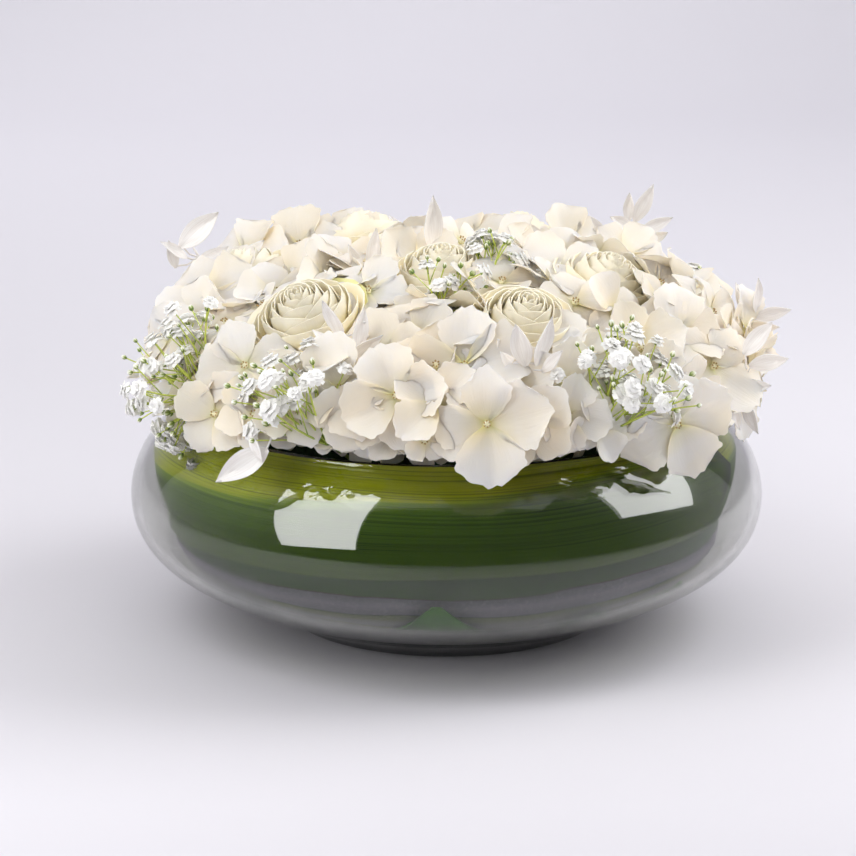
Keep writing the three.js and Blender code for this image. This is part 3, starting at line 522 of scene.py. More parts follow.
def tubes(paths, radii, sides=6):
    """Closed tubes: every path of shape (tubes, points, 3) carries a ring of an even number of sides, at right
    angles to the path and with the path point's radius, and each end is closed with quads."""
    count, length, _ = paths.shape
    tangent = unit(np.gradient(paths, axis=1))
    steep = np.abs(tangent[:, :1, 2:]) > STEEP
    across = unit(np.cross(tangent, np.where(steep, (1.0, 0, 0), (0, 0, 1.0))))
    angle = np.linspace(0, 2 * np.pi, sides, endpoint=False)[:, None]
    ring = across[:, :, None] * np.cos(angle) + np.cross(tangent, across)[:, :, None] * np.sin(angle)
    points = paths[:, :, None] + ring * np.broadcast_to(radii, (count, length))[:, :, None, None]
    index = np.arange(length * sides).reshape(length, sides)
    after = np.roll(index, -1, axis=1)
    fan = np.array([(0, k + 1, k + 2, k + 3) for k in range(0, sides - 2, 2)])
    faces = np.concatenate([
        np.stack([index[:-1], after[:-1], after[1:], index[1:]], -1).reshape(-1, 4),
        fan[:, ::-1], index[-1][fan]])
    faces = faces[None] + np.arange(count)[:, None, None] * length * sides
    u = np.broadcast_to(np.linspace(0, 1, length)[:, None], (length, sides))
    v = np.broadcast_to(np.arange(sides)[None] / sides, (length, sides))
    return points.reshape(-1, 3), faces.reshape(-1, 4), np.tile(np.stack([u, v], -1).reshape(-1, 2), (count, 1))


# %% [markdown]
# A hydrangea's show is its sepals: four broad white ones to a floret, each with a narrow claw, a round end and a
# slight curl, and a small green-cream bud with stamens in the middle. A head has dozens of florets, and eight heads
# make the mound. Real florets lap like tiles, so each sepal is a bent sheet of its own, and chance sets its width,
# cup, curl and turn. The ones that face the camera at the front are placed one by one, with toothed edges.

# %% Sepals
SEPAL_THICKNESS, CLAW_START = 0.3, 0.8
SEPAL_LAYERS = np.array([0.9, -0.4, 0.7, -0.6]).reshape(1, 4, 1, 1)


def sepals(centres, axes, spins, lengths, rows, columns, teeth):
    """Four sheets a floret. Along the way u the half width is a share of the length times a power of a sine, so the
    claw is narrow and the end round. The lift is a cup times u squared, less a roll times u to the fourth, plus a
    curl times the side squared, a fold times the side and a wave that grows to the edge; every other sepal lies a
    little lower."""
    def draw(low, high):
        """One number between two limits for each sepal."""
        return random.uniform(low, high, (len(centres), 4, 1, 1))
    t, v = grid(rows, columns)
    u = 1 - (1 - t) ** 1.5
    length = lengths.reshape(-1, 1, 1, 1) * draw(0.88, 1.08)
    notch = teeth * np.sin(24 * u + 3) * np.abs(v) ** 6 * u
    side = v * length * draw(0.45, 0.58) * (0.1 + 0.9 * np.sin(0.92 * np.pi * u ** 1.3) ** 0.55) * (1 + notch)
    blunt = 1 + 0.4 * teeth * np.sin(17 * v) * u ** 12
    along = CLAW_START + length * u * (1 - draw(0.08, 0.26) * v ** 2 * u) * blunt
    lift = length * (draw(-0.05, 0.4) * u ** 2 - draw(0, 0.3) * u ** 4 + draw(-0.3, 0.7) * (side / length) ** 2)
    lift = lift + draw(0, 0.3) * np.abs(side) + draw(-0.15, 0.15) * side * u
    lift = lift + length * draw(0.01, 0.05) * v ** 2 * np.sin(7 * u + 2 * v + draw(0, 6))
    lift = lift + SEPAL_LAYERS * (0.3 + u)
    angle = np.arange(4).reshape(1, 4, 1, 1) * np.pi / 2 + draw(-0.17, 0.17)
    return place(polar(angle, along, lift, side), centres, axes, spins).reshape(-1, rows, columns, 3)


# %% Florets: sepals, the bud in their middle, and stamens with their anthers
EYE_STEPS, EYE_RADII = np.array([-1.5, 0.3, 1.2, 1.8])[:, None], (0.8, 1.6, 1.3, 0.3)
STAMENS, STAMEN_LEAN, STAMEN_STEPS = 6, 0.55, np.array([0.6, 2.2, 2.8]).reshape(1, 1, 3, 1)
FILAMENT_RADIUS, ANTHER_RADII = 0.16, (0.42, 0.3)


def florets_of(head, table, rows, columns, teeth):
    """The meshes of one head's florets, from their centres, axes, spins and lengths. The bud is a short tube on the
    axis, and a stamen is a thin tube that ends in a thick one and leans out by a share of its rise."""
    centres, axes, spins, lengths = [column[head] for column in table]
    eyes = centres[:, None] + axes[:, None] * EYE_STEPS
    rays = polar(np.linspace(0, 2 * np.pi, STAMENS, endpoint=False), STAMEN_LEAN, 1.0)
    tips = place(rays[None, :, None] * STAMEN_STEPS * np.ones((len(centres), 1, 1, 1)), centres, axes, spins)
    tips = tips.reshape(-1, 3, 3)
    return (closed_sheets(sepals(centres, axes, spins, lengths, rows, columns, teeth), SEPAL_THICKNESS),
            tubes(eyes, EYE_RADII), tubes(tips[:, :2], FILAMENT_RADIUS, 4), tubes(tips[:, 1:], ANTHER_RADII, 4))


# %% [markdown]
# The florets, leaves and sprays at the front stand where the picture shows them. A place in a picture is only a
# direction, so each one is followed along its sight line from the camera to the dome, or to a depth, and sits
# there as a real flower would, carried by the mound and right from every side.

# %% The picture's sight lines
CAMERA_PLACE, CAMERA_DOWN = np.array([-8.7, -1454.9, 455.6]), 14.08
CAMERA_LENS, SENSOR_WIDTH, PICTURE_SIZE = 132.7, 36, 856
SIGHT_NEAR, SIGHT_FAR, SIGHT_STEP = 1180, 1760, 0.5


def sight_lines(pixels):
    """The direction through each pixel: forward, plus the pixel's distance from the middle as a share of the
    picture's width, times the sensor's width, divided by the focal length."""
    down = np.radians(CAMERA_DOWN)
    forward, upward = np.array([0, np.cos(down), -np.sin(down)]), np.array([0, np.sin(down), np.cos(down)])
    offset = (np.asarray(pixels, float) / PICTURE_SIZE - 0.5) * SENSOR_WIDTH / CAMERA_LENS
    return unit(forward + offset[:, :1] * np.array([1, 0, 0]) - offset[:, 1:2] * upward)


def on_dome(pixels, lift=0):
    """Where each pixel's sight line first meets the dome, or else passes it closest, moved out by a lift in mm."""
    sight = sight_lines(pixels)
    points = CAMERA_PLACE + sight[:, None] * np.arange(SIGHT_NEAR, SIGHT_FAR, SIGHT_STEP)[:, None]
    outward = np.hypot(points[..., 0], points[..., 1]) / MOUND_RADIUS
    rise = np.maximum(points[..., 2] - MOUND_BASE, 0) / MOUND_RISE
    fill = outward ** MOUND_POWER + rise ** MOUND_POWER
    step = np.where((fill < 1).any(1), (fill < 1).argmax(1), fill.argmin(1))
    return points[np.arange(len(points)), step] - sight * np.reshape(lift, (-1, 1))


def at_depth(pixels, depth):
    """The point of each pixel's sight line whose y is the depth."""
    sight = sight_lines(pixels)
    return CAMERA_PLACE + sight * ((depth - CAMERA_PLACE[1]) / sight[:, 1])[:, None]


# %% Where the flowers are
# Each row: a hydrangea head's azimuth and radius, then a rose's azimuth, radius and size.
HYDRANGEAS = np.array([(-86, 84), (-38, 92), (-151, 92), (153, 92), (92, 90), (34, 92), (180, 38), (8, 40)])
ROSES = np.array([(-129, 101, 1.05), (-70, 99, 1), (-93, 44, 0.95), (-24, 80, 0.95), (122, 76, 1), (62, 76, 0.95),
                  (178, 96, 0.95)])
ROSE_SINK = 3
rose_tops, rose_normals = dome(ROSES[:, 0], turn_at(ROSES[:, 1]))
rose_centres = rose_tops - ROSE_SINK * rose_normals
# Each row: a spray's azimuth, radius, size and number of branches.
GYPSOPHILAS = np.array([(-165, 136, 1.3, 22), (-119, 134, 1, 15), (-53, 133, 1.2, 20), (-50, 30, 0.9, 12),
                        (-108, 76, 0.75, 9), (58, 132, 1, 12), (122, 133, 1, 12), (14, 122, 0.8, 9)])
# For the sprays that the picture shows: the pixels of the fork and of the middle of the flowers, the longest
# branch's lean in radians and the branches' mean length in mm.
SPRAYS_SHOWN = {0: ((212, 392), (176, 374), 1.35, 30), 1: ((330, 446), (284, 392), 0.75, 35),
                2: ((602, 436), (626, 378), 0.85, 36), 3: ((492, 284), (500, 250), 1.1, 20),
                4: ((440, 316), (452, 286), 1.1, 19)}
spray_places = dome(GYPSOPHILAS[:, 0], turn_at(GYPSOPHILAS[:, 1]))[0]

# Each row: the pixel of the floret's eye in the picture, the spin of its first sepal, its sepals' length and how far
# it stands out of the dome.
FRONT_FLORETS = np.array([
    (487, 424, -80, 27, 7), (437, 404, 47, 23, 3), (396, 396, 108, 23, 3), (340, 388, 115, 24, 2),
    (508, 386, 30, 23, 0), (465, 366, 97, 27, 2), (436, 366, 160, 20, 0), (420, 338, 60, 20, -2),
    (566, 414, 62, 20, 3), (676, 424, -74, 27, 8), (712, 367, 40, 24, 4), (676, 336, 75, 24, 2),
    (246, 366, 112, 24, 2), (216, 414, 150, 19, 5), (170, 337, 60, 20, 2), (205, 300, 35, 26, 2),
    (226, 286, 80, 22, 0), (298, 410, 20, 18, 0), (352, 416, 70, 17, 0), (424, 440, 40, 10, 2),
    (640, 348, 20, 22, 0), (745, 330, 70, 22, 0), (735, 400, 100, 20, 2), (540, 340, 120, 22, -2),
    (610, 400, 30, 19, -6), (385, 352, 20, 22, 0), (565, 385, 80, 21, -2), (300, 384, 40, 19, -2),
    (300, 246, 30, 24, 0), (340, 238, 75, 23, 0), (245, 252, 10, 24, 0), (420, 262, 50, 21, 0),
    (560, 272, 15, 23, 0), (640, 262, 60, 23, 0), (686, 290, 30, 23, 0), (470, 236, 20, 21, 0),
    (368, 292, 70, 18, -3), (650, 385, 60, 20, -4)], float)
front_centres = on_dome(FRONT_FLORETS[:, :2], FRONT_FLORETS[:, 4])
print("florets placed by hand:", len(front_centres))

# %% Florets spread over the dome
# Each row: a layer's number of florets, first angle, height over the dome, how far it reaches down, and sizes.
FLORET_LAYERS = [(265, 0.4, 3, 13, (16, 21.5)), (150, 2.2, -13, 8, (16, 20))]
# Each row: a ring's number of florets, the ranges of their radius, height and size, and their sway in degrees.
FLORET_RINGS = [(38, (103, 109), (109, 114), (11, 14), 0), (40, (124, 131), (118, 124), (13, 17), 3)]
EVEN_RISE, SWAYED_RISE = 0.25, (0.1, 0.7)
OUTER_RADIUS, RIM_CLEARANCE, FLORET_TILT, FRONT_TILT = 110, 106, 0.36, 0.12
ROSE_ROOM, FRONT_ROOM, SPRAY_ROOM = 29, 15, 18


def many_florets():
    """Two layers over the whole dome, a low ring inside the rim and one above it, without those that would hide a
    rose's face, a spray or a floret placed one by one. Depths step through a golden-ratio sequence, so neighbours
    never lie level."""
    sets = []
    for count, first, depth, reach, sizes in FLORET_LAYERS:
        azimuth, turn = spread(count, first)
        points, normals = dome(azimuth, turn)
        lift = depth - reach * (np.arange(count) * 0.618 % 1)
        sets.append((points + normals * lift[:, None], normals, random.uniform(*sizes, count)))
    for count, radii, heights, sizes, sway in FLORET_RINGS:
        around = np.radians(np.arange(count) * 360 / count + (random.uniform(-sway, sway, count) if sway else 0))
        ring = polar(around, random.uniform(*radii, count), random.uniform(*heights, count))
        normals = unit(polar(around, 1.0, random.uniform(*SWAYED_RISE, count) if sway else EVEN_RISE))
        sets.append((ring, normals, random.uniform(*sizes, count)))
    centres, normals, lengths = [np.concatenate(column) for column in zip(*sets)]
    outer = np.hypot(centres[:, 0], centres[:, 1]) > OUTER_RADIUS
    centres[outer, 2] = np.maximum(centres[outer, 2], RIM_CLEARANCE + lengths[outer])
    kept = np.ones(len(centres), bool)
    for others, room in [(rose_tops, ROSE_ROOM * ROSES[:, 2]), (front_centres, FRONT_ROOM),
                         (spray_places, SPRAY_ROOM * GYPSOPHILAS[:, 2])]:
        kept &= ~(np.linalg.norm(centres[:, None] - others, axis=-1) < room).any(1)
    axes = unit(normals + random.normal(0, FLORET_TILT, normals.shape))
    return [column[kept] for column in (centres, axes, random.uniform(0, 2 * np.pi, len(centres)), lengths)]


# %% All florets, with the way that each faces
def dome_outward(points):
    """The dome's outward direction near points: the slope of the superellipse at their radius and height."""
    radius = np.maximum(np.hypot(points[:, 0], points[:, 1]), 1)
    rise = np.maximum(points[:, 2] - MOUND_BASE, 1)
    slope = (radius / MOUND_RADIUS) ** (MOUND_POWER - 1) / MOUND_RADIUS
    top = (rise / MOUND_RISE) ** (MOUND_POWER - 1) / MOUND_RISE
    return unit(np.stack([points[:, 0] / radius * slope, points[:, 1] / radius * slope, top], -1))


plain_florets = many_florets()
toward_camera = np.array([0, -0.6, 0.05])
by_chance = random.normal(0, FRONT_TILT, front_centres.shape)
front_axes = unit(dome_outward(front_centres) + toward_camera + by_chance)
front_florets = [front_centres, front_axes, np.radians(FRONT_FLORETS[:, 2]), FRONT_FLORETS[:, 3]]
print("florets spread by the rule:", len(plain_florets[0]))

# %% [markdown]
# A fresh hydrangea sepal is thin and juicy, so light goes in and comes out again, warm, a few millimetres away. It
# is green-cream at the claw, cream-white beyond, and never one even white: drifts some 40 mm wide tint it. Fine
# veins run along it as relief. The bud, the filaments and the dry brown anthers go from one tone to another.

# %% Hydrangea sepal, fresh
def fresh_sepal():
    """The colour is a ramp of u, multiplied by nine tenths of a ramp of broad noise. Streaks are the relief."""
    material, tree = start_material("hydrangea_sepal_fresh")
    along = add(tree, "SeparateXYZ", {"Vector": add(tree, "UVMap")}, out="X")
    eye = add(tree, "ValToRGB", {"Fac": along}, [(0.0, "DCD68E"), (0.1, "F2E7C6"), (0.3, "F8EFDF"), (1.0, "FAF4E9")])
    drift = add(tree, "TexNoise", {"Vector": add(tree, "TexCoord", out="Object"), "Scale": 26.0, "Detail": 2.0})
    tones = add(tree, "ValToRGB", {"Fac": drift}, [(0.35, "FFFFFF"), (0.62, "FCF3E3")])
    toned = add(tree, "Mix", {0: 0.9, 6: eye, 7: tones}, **TINTED)
    finish_surface(tree, {"Base Color": toned, "Roughness": 0.6, **lit_through(0.65, (1.0, 0.85, 0.6))},
                   long_streaks(tree, 2.5, 22.0, 3.0), 0.35, 0.5)
    return material


# %% Hydrangea heads
finishes = (fresh_sepal(),
            small_part("hydrangea_eye_bud", "C9CF86", "F0EBC6", {"Roughness": 0.6}),
            small_part("hydrangea_filament", "DDE0A6", "F4EFD6", {"Roughness": 0.6}),
            small_part("hydrangea_anther_dry", "7A5A2E", "B89A5E", {"Roughness": 0.8}))
# A floret's grid: its rows, its columns and the size of its teeth.
HEAD_HEIGHT, PLAIN_GRID, FRONT_GRID = 130, (6, 5, 0.0), (14, 9, 0.08)
head_places = polar(np.radians(HYDRANGEAS[:, 0]), HYDRANGEAS[:, 1], HEAD_HEIGHT)
near_plain, near_front = [np.linalg.norm(florets[0][:, None] - head_places, axis=-1).argmin(1)
                          for florets in (plain_florets, front_florets)]
for number in range(len(HYDRANGEAS)):
    parts = list(zip(florets_of(near_plain == number, plain_florets, *PLAIN_GRID), finishes))
    if (near_front == number).any():
        parts += zip(florets_of(near_front == number, front_florets, *FRONT_GRID), finishes)
    add_piece(f"hydrangea_{number + 1}", "_florets", parts)

# %% [markdown]
# A rose's petals lap in a spiral, each a golden angle on from the last. The innermost stand upright and wrap the
# heart, and each later one opens wider, until the outer ones curl back at the tip. So one function of the
# petal's rank gives them all: rank 0 is the heart and rank 1 the outermost petal.

# %% Rose petals
ROSE_RADIUS, ROSE_PETALS, ROSE_DEPTH, PETAL_THICKNESS = 28, 42, 17, 0.4


def rose_petals(size, spin):
    """Sheets over t from foot to tip and v across. The radius grows as a sine of t and the tip turns outwards with
    the rank; the height grows with t, less at the sides, so each petal has a round top."""
    rank = np.linspace(0, 1, ROSE_PETALS).reshape(-1, 1, 1) ** 1.15
    t, v = grid(9, 7)
    rise = t * (1 - 0.22 * np.abs(v) ** 2.4)
    reach = ROSE_RADIUS * size * (0.09 + 0.91 * rank ** 0.9)
    flare = rank ** 2.5 * np.clip(rise - 0.6, 0, 1)
    hood = 1 - 0.9 * (1 - rank) ** 0.7 * np.clip(rise - 0.5, 0, 1) ** 1.3
    radius = reach * (0.3 + 0.7 * np.sin(np.pi / 2 * rise ** 0.75)) * (1 + 0.05 * v) * hood + reach * 0.5 * flare
    height = size * (-ROSE_DEPTH + (2 * ROSE_DEPTH - 13 * rank ** 1.6) * rise) - size * 26 * flare ** 1.6
    wobble = random.uniform(0, 6, rank.shape)
    height = height + size * 0.8 * rank * np.sin(3 * v + wobble) * t ** 3
    turn = spin + np.arange(ROSE_PETALS).reshape(-1, 1, 1) * GOLDEN_ANGLE
    angle = turn + v * (1.75 - 0.85 * rank ** 0.5) * np.sin(np.pi / 2 * np.clip(0.25 + t, 0, 1)) ** 0.7
    return polar(angle, radius, height)


# %% [markdown]
# A rose petal is silkier than a sepal and lets less light through. It is yellow-cream at the foot and pales to
# ivory at the rim, with soft veins along it that also shift the tone. One guard petal of the first rose is lime.

# %% Rose petal, cream and fresh
def fresh_rose_petal():
    """The colour is a ramp of u plus 0.16 times the veins, which are also the relief."""
    material, tree = start_material("rose_petal_cream_fresh")
    along = add(tree, "SeparateXYZ", {"Vector": add(tree, "UVMap")}, out="X")
    veins = long_streaks(tree, 2.0, 26.0, 3.0)
    drift = add(tree, "Math", {0: veins, 1: 0.16, 2: along}, operation="MULTIPLY_ADD")
    tone = add(tree, "ValToRGB", {"Fac": drift}, [
        (0.1, "F0DF90"), (0.45, "FBEBB8"), (0.8, "FDF1CC"), (1.0, "FEF6DE")])
    finish_surface(tree, {"Base Color": tone, "Roughness": 0.5, **lit_through(0.3, (1.0, 0.8, 0.5))},
                   veins, 0.25, 0.4)
    return material


# %% Roses
rose_petal = fresh_rose_petal()
lime_petal = small_part("rose_guard_petal_lime", "C8D27A", "EDEBA6", {"Roughness": 0.5})
LIME_ROSE, LIME_PETAL, ROSE_FOOT = 0, 40, 66
rose_axes = unit(rose_centres - polar(np.radians(ROSES[:, 0]), ROSES[:, 1] / 2, ROSE_FOOT))
for number, size in enumerate(ROSES[:, 2]):
    here = slice(number, number + 1)
    petals = rose_petals(size, number * GOLDEN_ANGLE)[None]
    petals = place(petals, rose_centres[here], rose_axes[here], np.zeros(1))[0]
    lime = (np.arange(ROSE_PETALS) == LIME_PETAL) & (number == LIME_ROSE)
    parts = [(closed_sheets(petals[chosen], PETAL_THICKNESS), finish)
             for chosen, finish in [(~lime, rose_petal), (lime, lime_petal)] if chosen.any()]
    add_piece(f"rose_{number + 1}", "_petals", parts)
print("roses:", len(ROSES), "with", ROSE_PETALS, "petals each")

# %% [markdown]
# Gypsophila is a cloud of small double flowers on wiry twigs that fork again and again. Each spray here forks from
# one point under the dome into branches, and each branch forks once more near its end. Open flowers are tight balls
# of notched white petals in a striped green cup, and the unopened ones are green and white beads. All of it is
# tubes and small sheets, each a few faces, because there are hundreds.

# %% Stems from the foam
TWIG_RADIUS, STEM_FOOT, KNEE_HEIGHT, KNEE_INSET = 0.9, 74, 126, 22


def stem_from_foam(azimuth, end, count):
    """A curve from the foam to the end, through a knee inside the flowers. The foot stands at 0.42 of the end's
    distance from the axis, and the knee a little inside it."""
    distance, angle = np.hypot(end[0], end[1]), np.radians(azimuth)
    foot = polar(angle, max(0.42 * distance, 9), STEM_FOOT)
    knee = polar(angle, max(distance - KNEE_INSET, 0.6 * distance), min(end[2] - 4, KNEE_HEIGHT))
    return bezier([foot, knee, end], count)


# %% The branches of a spray
BRANCH_POINTS, FORK_DEPTH, WIDEST_LEAN, BRANCH_REACH = 7, 14, 1.45, 24
# Each row: the branch point that a side twig leaves at, its share of the branch's reach, and which way it turns.
SIDE_TWIGS = [(2, 0.74, 0.9), (3, 0.62, 1.0), (4, 0.5, -1.0), (5, 0.34, 0.8)]


def spray_branches(number, azimuth, radius, size, count):
    """Branches about the outward normal, or about the line from the fork to the aim that the picture shows. Their
    lean grows with the square root of their rank and they turn by the golden angle. Side twigs leave each."""
    point, normal = dome(azimuth, turn_at(radius))
    fork = point - FORK_DEPTH * normal
    widest, mean_reach = WIDEST_LEAN, BRANCH_REACH * size
    if number in SPRAYS_SHOWN:
        fork_pixel, aim_pixel, widest, mean_reach = SPRAYS_SHOWN[number]
        fork, aim = on_dome([fork_pixel, aim_pixel], (-10, 4))
        normal = unit(aim - fork)
    rank = np.arange(count)
    lean = widest * np.sqrt((rank + 0.5) / count)
    local = polar(rank * GOLDEN_ANGLE + number, np.sin(lean), np.cos(lean))
    headings = place(local[None], np.zeros((1, 3)), normal[None], np.zeros(1))[0]
    reach = mean_reach * (1 + 0.28 * np.cos(3 * rank))
    t = np.linspace(0, 1, BRANCH_POINTS).reshape(-1, 1)
    bow = np.cross(headings, normal)[:, None] * (np.sin(np.pi * t) * 0.07 * reach[:, None, None])
    mains = fork + headings[:, None] * t * reach[:, None, None] + bow
    sides = []
    for step, share, aside in SIDE_TWIGS:
        away = unit(np.cross(headings, random.normal(0, 1, headings.shape))) * aside
        heading = unit(headings + 0.75 * away)
        start = mains[:, step]
        tip = start + heading * (share * reach * random.uniform(0.8, 1.1, count))[:, None]
        sides.append(start[:, None] + (tip - start)[:, None] * t[::2])
    return fork, mains, np.concatenate(sides)


# %% Open flowers and buds
# Each row: a ring's number of petals, their tilt in degrees, their length and the first one's turn.
PETAL_RINGS = [(9, 84, 1.0, 0.0), (8, 52, 0.95, 0.4), (6, 22, 0.86, 0.9), (3, 6, 0.7, 0.2)]
BALL_PETAL_THICKNESS, BUD_SIZE = 0.2, 4.2
CUP_STEPS, CUP_RADII = np.array([-1.6, -0.4, 1.0])[:, None], (0.5, 1.25, 1.5)
BEAD_STEPS = np.array([-1.2, -0.3, 0.7, 1.5, 1.9])[:, None]
BEAD_RADII = np.array([0.4, 1.15, 1.25, 0.7, 0.1])


def ball_petals(centres, axes, sizes):
    """Twenty-six petals a flower in four rings, which stand steeper towards the middle. A petal is three rows of
    two points: narrow, widest at two thirds, and a little narrower at its blunt end."""
    grids = []
    for petals, tilt, length, turn in PETAL_RINGS:
        angle = turn + np.arange(petals).reshape(-1, 1, 1) * 2 * np.pi / petals
        along = np.array([0.1, 0.7, 1.0]).reshape(-1, 1) * length
        side = np.array([0.1, 0.34, 0.26]).reshape(-1, 1) * np.array([-1, 1])
        bend = np.radians(tilt) + np.array([-0.35, 0.05, 0.4]).reshape(-1, 1)
        grids.append(polar(angle, along * np.sin(bend), along * np.cos(bend), side))
    local = np.concatenate(grids)[None] * sizes.reshape(-1, 1, 1, 1, 1)
    local = local + random.normal(0, 0.3, local.shape)
    return place(local, centres, axes, random.uniform(0, 6.28, len(centres))).reshape(-1, 3, 2, 3)


def bloom(branches, open_share, low, high):
    """Splits branch tips into open flowers and buds by chance, and gives petals, cups and beads. A cup or a bead is
    a short tube along the tip's own heading."""
    tips, axes = branches[:, -1], unit(branches[:, -1] - branches[:, -2])
    sizes = random.uniform(low, high, len(tips))
    opened = random.random(len(tips)) < open_share
    petals = closed_sheets(ball_petals(tips[opened], axes[opened], sizes[opened]), BALL_PETAL_THICKNESS)
    cups = tubes(tips[opened][:, None] + axes[opened][:, None] * CUP_STEPS, CUP_RADII)
    tips, axes, sizes = tips[~opened], axes[~opened], sizes[~opened, None]
    beads = tubes(tips[:, None] + axes[:, None] * BEAD_STEPS * sizes[:, None] / BUD_SIZE,
                  BEAD_RADII * sizes / BUD_SIZE)
    return petals, cups, beads


# %% [markdown]
# The petals are fresh, thin and almost pure white, and glow a little. The twigs are yellow-green, paler towards the
# tip. A bud is green at its foot and white at its tip, with five green stripes between, like its cup. All of these
# run along the part's own uv.

# %% Gypsophila bud, striped
def gypsophila_bud():
    """The colour is a ramp of u plus 0.16 times a sine that makes five turns round the bud."""
    material, tree = start_material("gypsophila_bud_striped")
    along, around = [add(tree, "SeparateXYZ", {"Vector": add(tree, "UVMap")}, out=axis) for axis in "XY"]
    stripes = add(tree, "Math", {0: around, 1: 5 * 2 * np.pi}, operation="MULTIPLY")
    waves = add(tree, "Math", {0: stripes}, operation="SINE")
    mix = add(tree, "Math", {0: waves, 1: 0.16, 2: along}, operation="MULTIPLY_ADD")
    tone = add(tree, "ValToRGB", {"Fac": mix}, [
        (0.0, "55702A"), (0.35, "8DA04A"), (0.62, "E9EBC9"), (0.85, "FBFBF4")])
    finish_surface(tree, {"Base Color": tone, "Roughness": 0.55}, waves, 0.1, 0.1)
    return material


# %% Gypsophila sprays
white_petal = small_part("gypsophila_petal_fresh", "FCFBF0", "FFFEFA",
                         {"Roughness": 0.6, **lit_through(0.25, (1.0, 0.95, 0.9), 1.5)})
lime_twig = small_part("gypsophila_twig_fresh", "7E9434", "C0CC54", {"Roughness": 0.5})
striped_bud = gypsophila_bud()
for number, (azimuth, radius, size, count) in enumerate(GYPSOPHILAS):
    fork, mains, sides = spray_branches(number, azimuth, radius, size, int(count))
    stem = tubes(stem_from_foam(azimuth, fork, 12)[None], TWIG_RADIUS, 8)
    twigs = tubes(mains, np.linspace(0.55, 0.35, BRANCH_POINTS), 4), tubes(sides, 0.3, 4)
    parts = [(stem, lime_twig), (twigs[0], lime_twig), (twigs[1], lime_twig)]
    for branches, open_share, low, high in [(mains, 0.85, 4.0, 5.4), (sides, 0.45, 3.2, 4.8)]:
        parts += zip(bloom(branches, open_share, low, high), (white_petal, striped_bud, striped_bud))
    add_piece(f"gypsophila_{number + 1}", "_spray", parts)
print("gypsophila branches:", int(GYPSOPHILAS[:, 3].sum()))

# %% [markdown]
# Ruscus is sold bleached: its pointed leaves have lost their green and are thin, stiff and faintly see-through, with
# fine veins that run lengthwise. Each leaf is one sheet with a fold along the middle and a bend along its length.

# %% Ruscus sprays
# Each row: a spray's azimuth, radius, lean in degrees, reach and number of leaves.
RUSCUS = [(166, 114, 32, 20, 5), (-150, 22, 20, 10, 5), (30, 112, 12, 22, 6), (33, 70, 8, 12, 4),
          (8, 136, 55, 14, 6), (-22, 138, 76, 14, 6), (-80, 122, 14, 12, 4), (-108, 112, 30, 12, 4),
          (98, 124, 70, 8, 6), (-121, 137, 108, 8, 2)]
RUSCUS_LEAF, RUSCUS_THICKNESS = 28, 0.35
# The leaves that the picture shows, by spray: the pixels of root and tip, and how far the tip turns away in mm.
RUSCUS_SHOWN = {
    0: [(180, 247, 219, 213, 4), (187, 258, 160, 242, -3), (193, 268, 228, 247, 6), (176, 268, 168, 240, 0),
        (240, 268, 263, 240, -4)],
    1: [(372, 280, 379, 228, 2), (433, 252, 428, 196, 4), (380, 304, 422, 280, -6), (392, 262, 404, 226, 6),
        (362, 282, 347, 244, -4)],
    2: [(634, 222, 653, 184, 2), (634, 230, 609, 217, -5), (640, 232, 672, 217, 5), (628, 222, 630, 192, 0),
        (606, 248, 581, 212, -4), (650, 240, 668, 232, -6)],
    3: [(578, 262, 560, 226, 3), (572, 268, 547, 246, -5), (584, 260, 597, 224, 0), (588, 268, 614, 250, -4)],
    4: [(744, 312, 737, 282, 4), (756, 312, 755, 277, -3), (754, 318, 790, 309, 2), (748, 326, 780, 326, -5),
        (738, 318, 716, 300, 5)],
    5: [(744, 355, 772, 322, 3), (749, 366, 789, 357, -3), (728, 390, 771, 386, 0), (744, 402, 758, 434, -4),
        (731, 400, 738, 429, 3)],
    6: [(526, 366, 516, 322, -3), (536, 366, 548, 315, 2), (542, 372, 566, 350, -5), (520, 374, 500, 352, 4)],
    7: [(342, 338, 327, 297, -2), (356, 352, 366, 308, 3), (350, 358, 382, 338, -5), (334, 352, 312, 330, 4)],
    9: [(268, 449, 216, 482, 0), (250, 436, 262, 462, -5)]}


# %% Ruscus leaves
def ruscus_leaves(starts, headings, faces, lengths):
    """Pointed leaves: the half width is a fifth of the length times a sine of t, and the leaf folds up at its
    sides and bends back along its length."""
    t, v = grid(11, 5)
    length = lengths.reshape(-1, 1, 1)
    side = v * length * random.uniform(0.17, 0.23, length.shape) * np.sin(np.pi * (0.03 + 0.97 * t) ** 0.85) ** 0.9
    bend = random.uniform(-0.16, 0.2, length.shape) * length * t ** 2
    lift = bend + 0.28 * np.abs(side) + 0.02 * length * np.sin(7 * t + 3 * v)
    across = unit(np.cross(faces, headings))
    directions = headings, across, np.cross(headings, across)
    along, aside, up = [direction[:, None, None] * distance[..., None]
                        for direction, distance in zip(directions, (length * t + 0 * v, side, lift))]
    return starts[:, None, None] + along + aside + up


# %% Where a spray's leaves stand
LEAF_TURN = 2.4


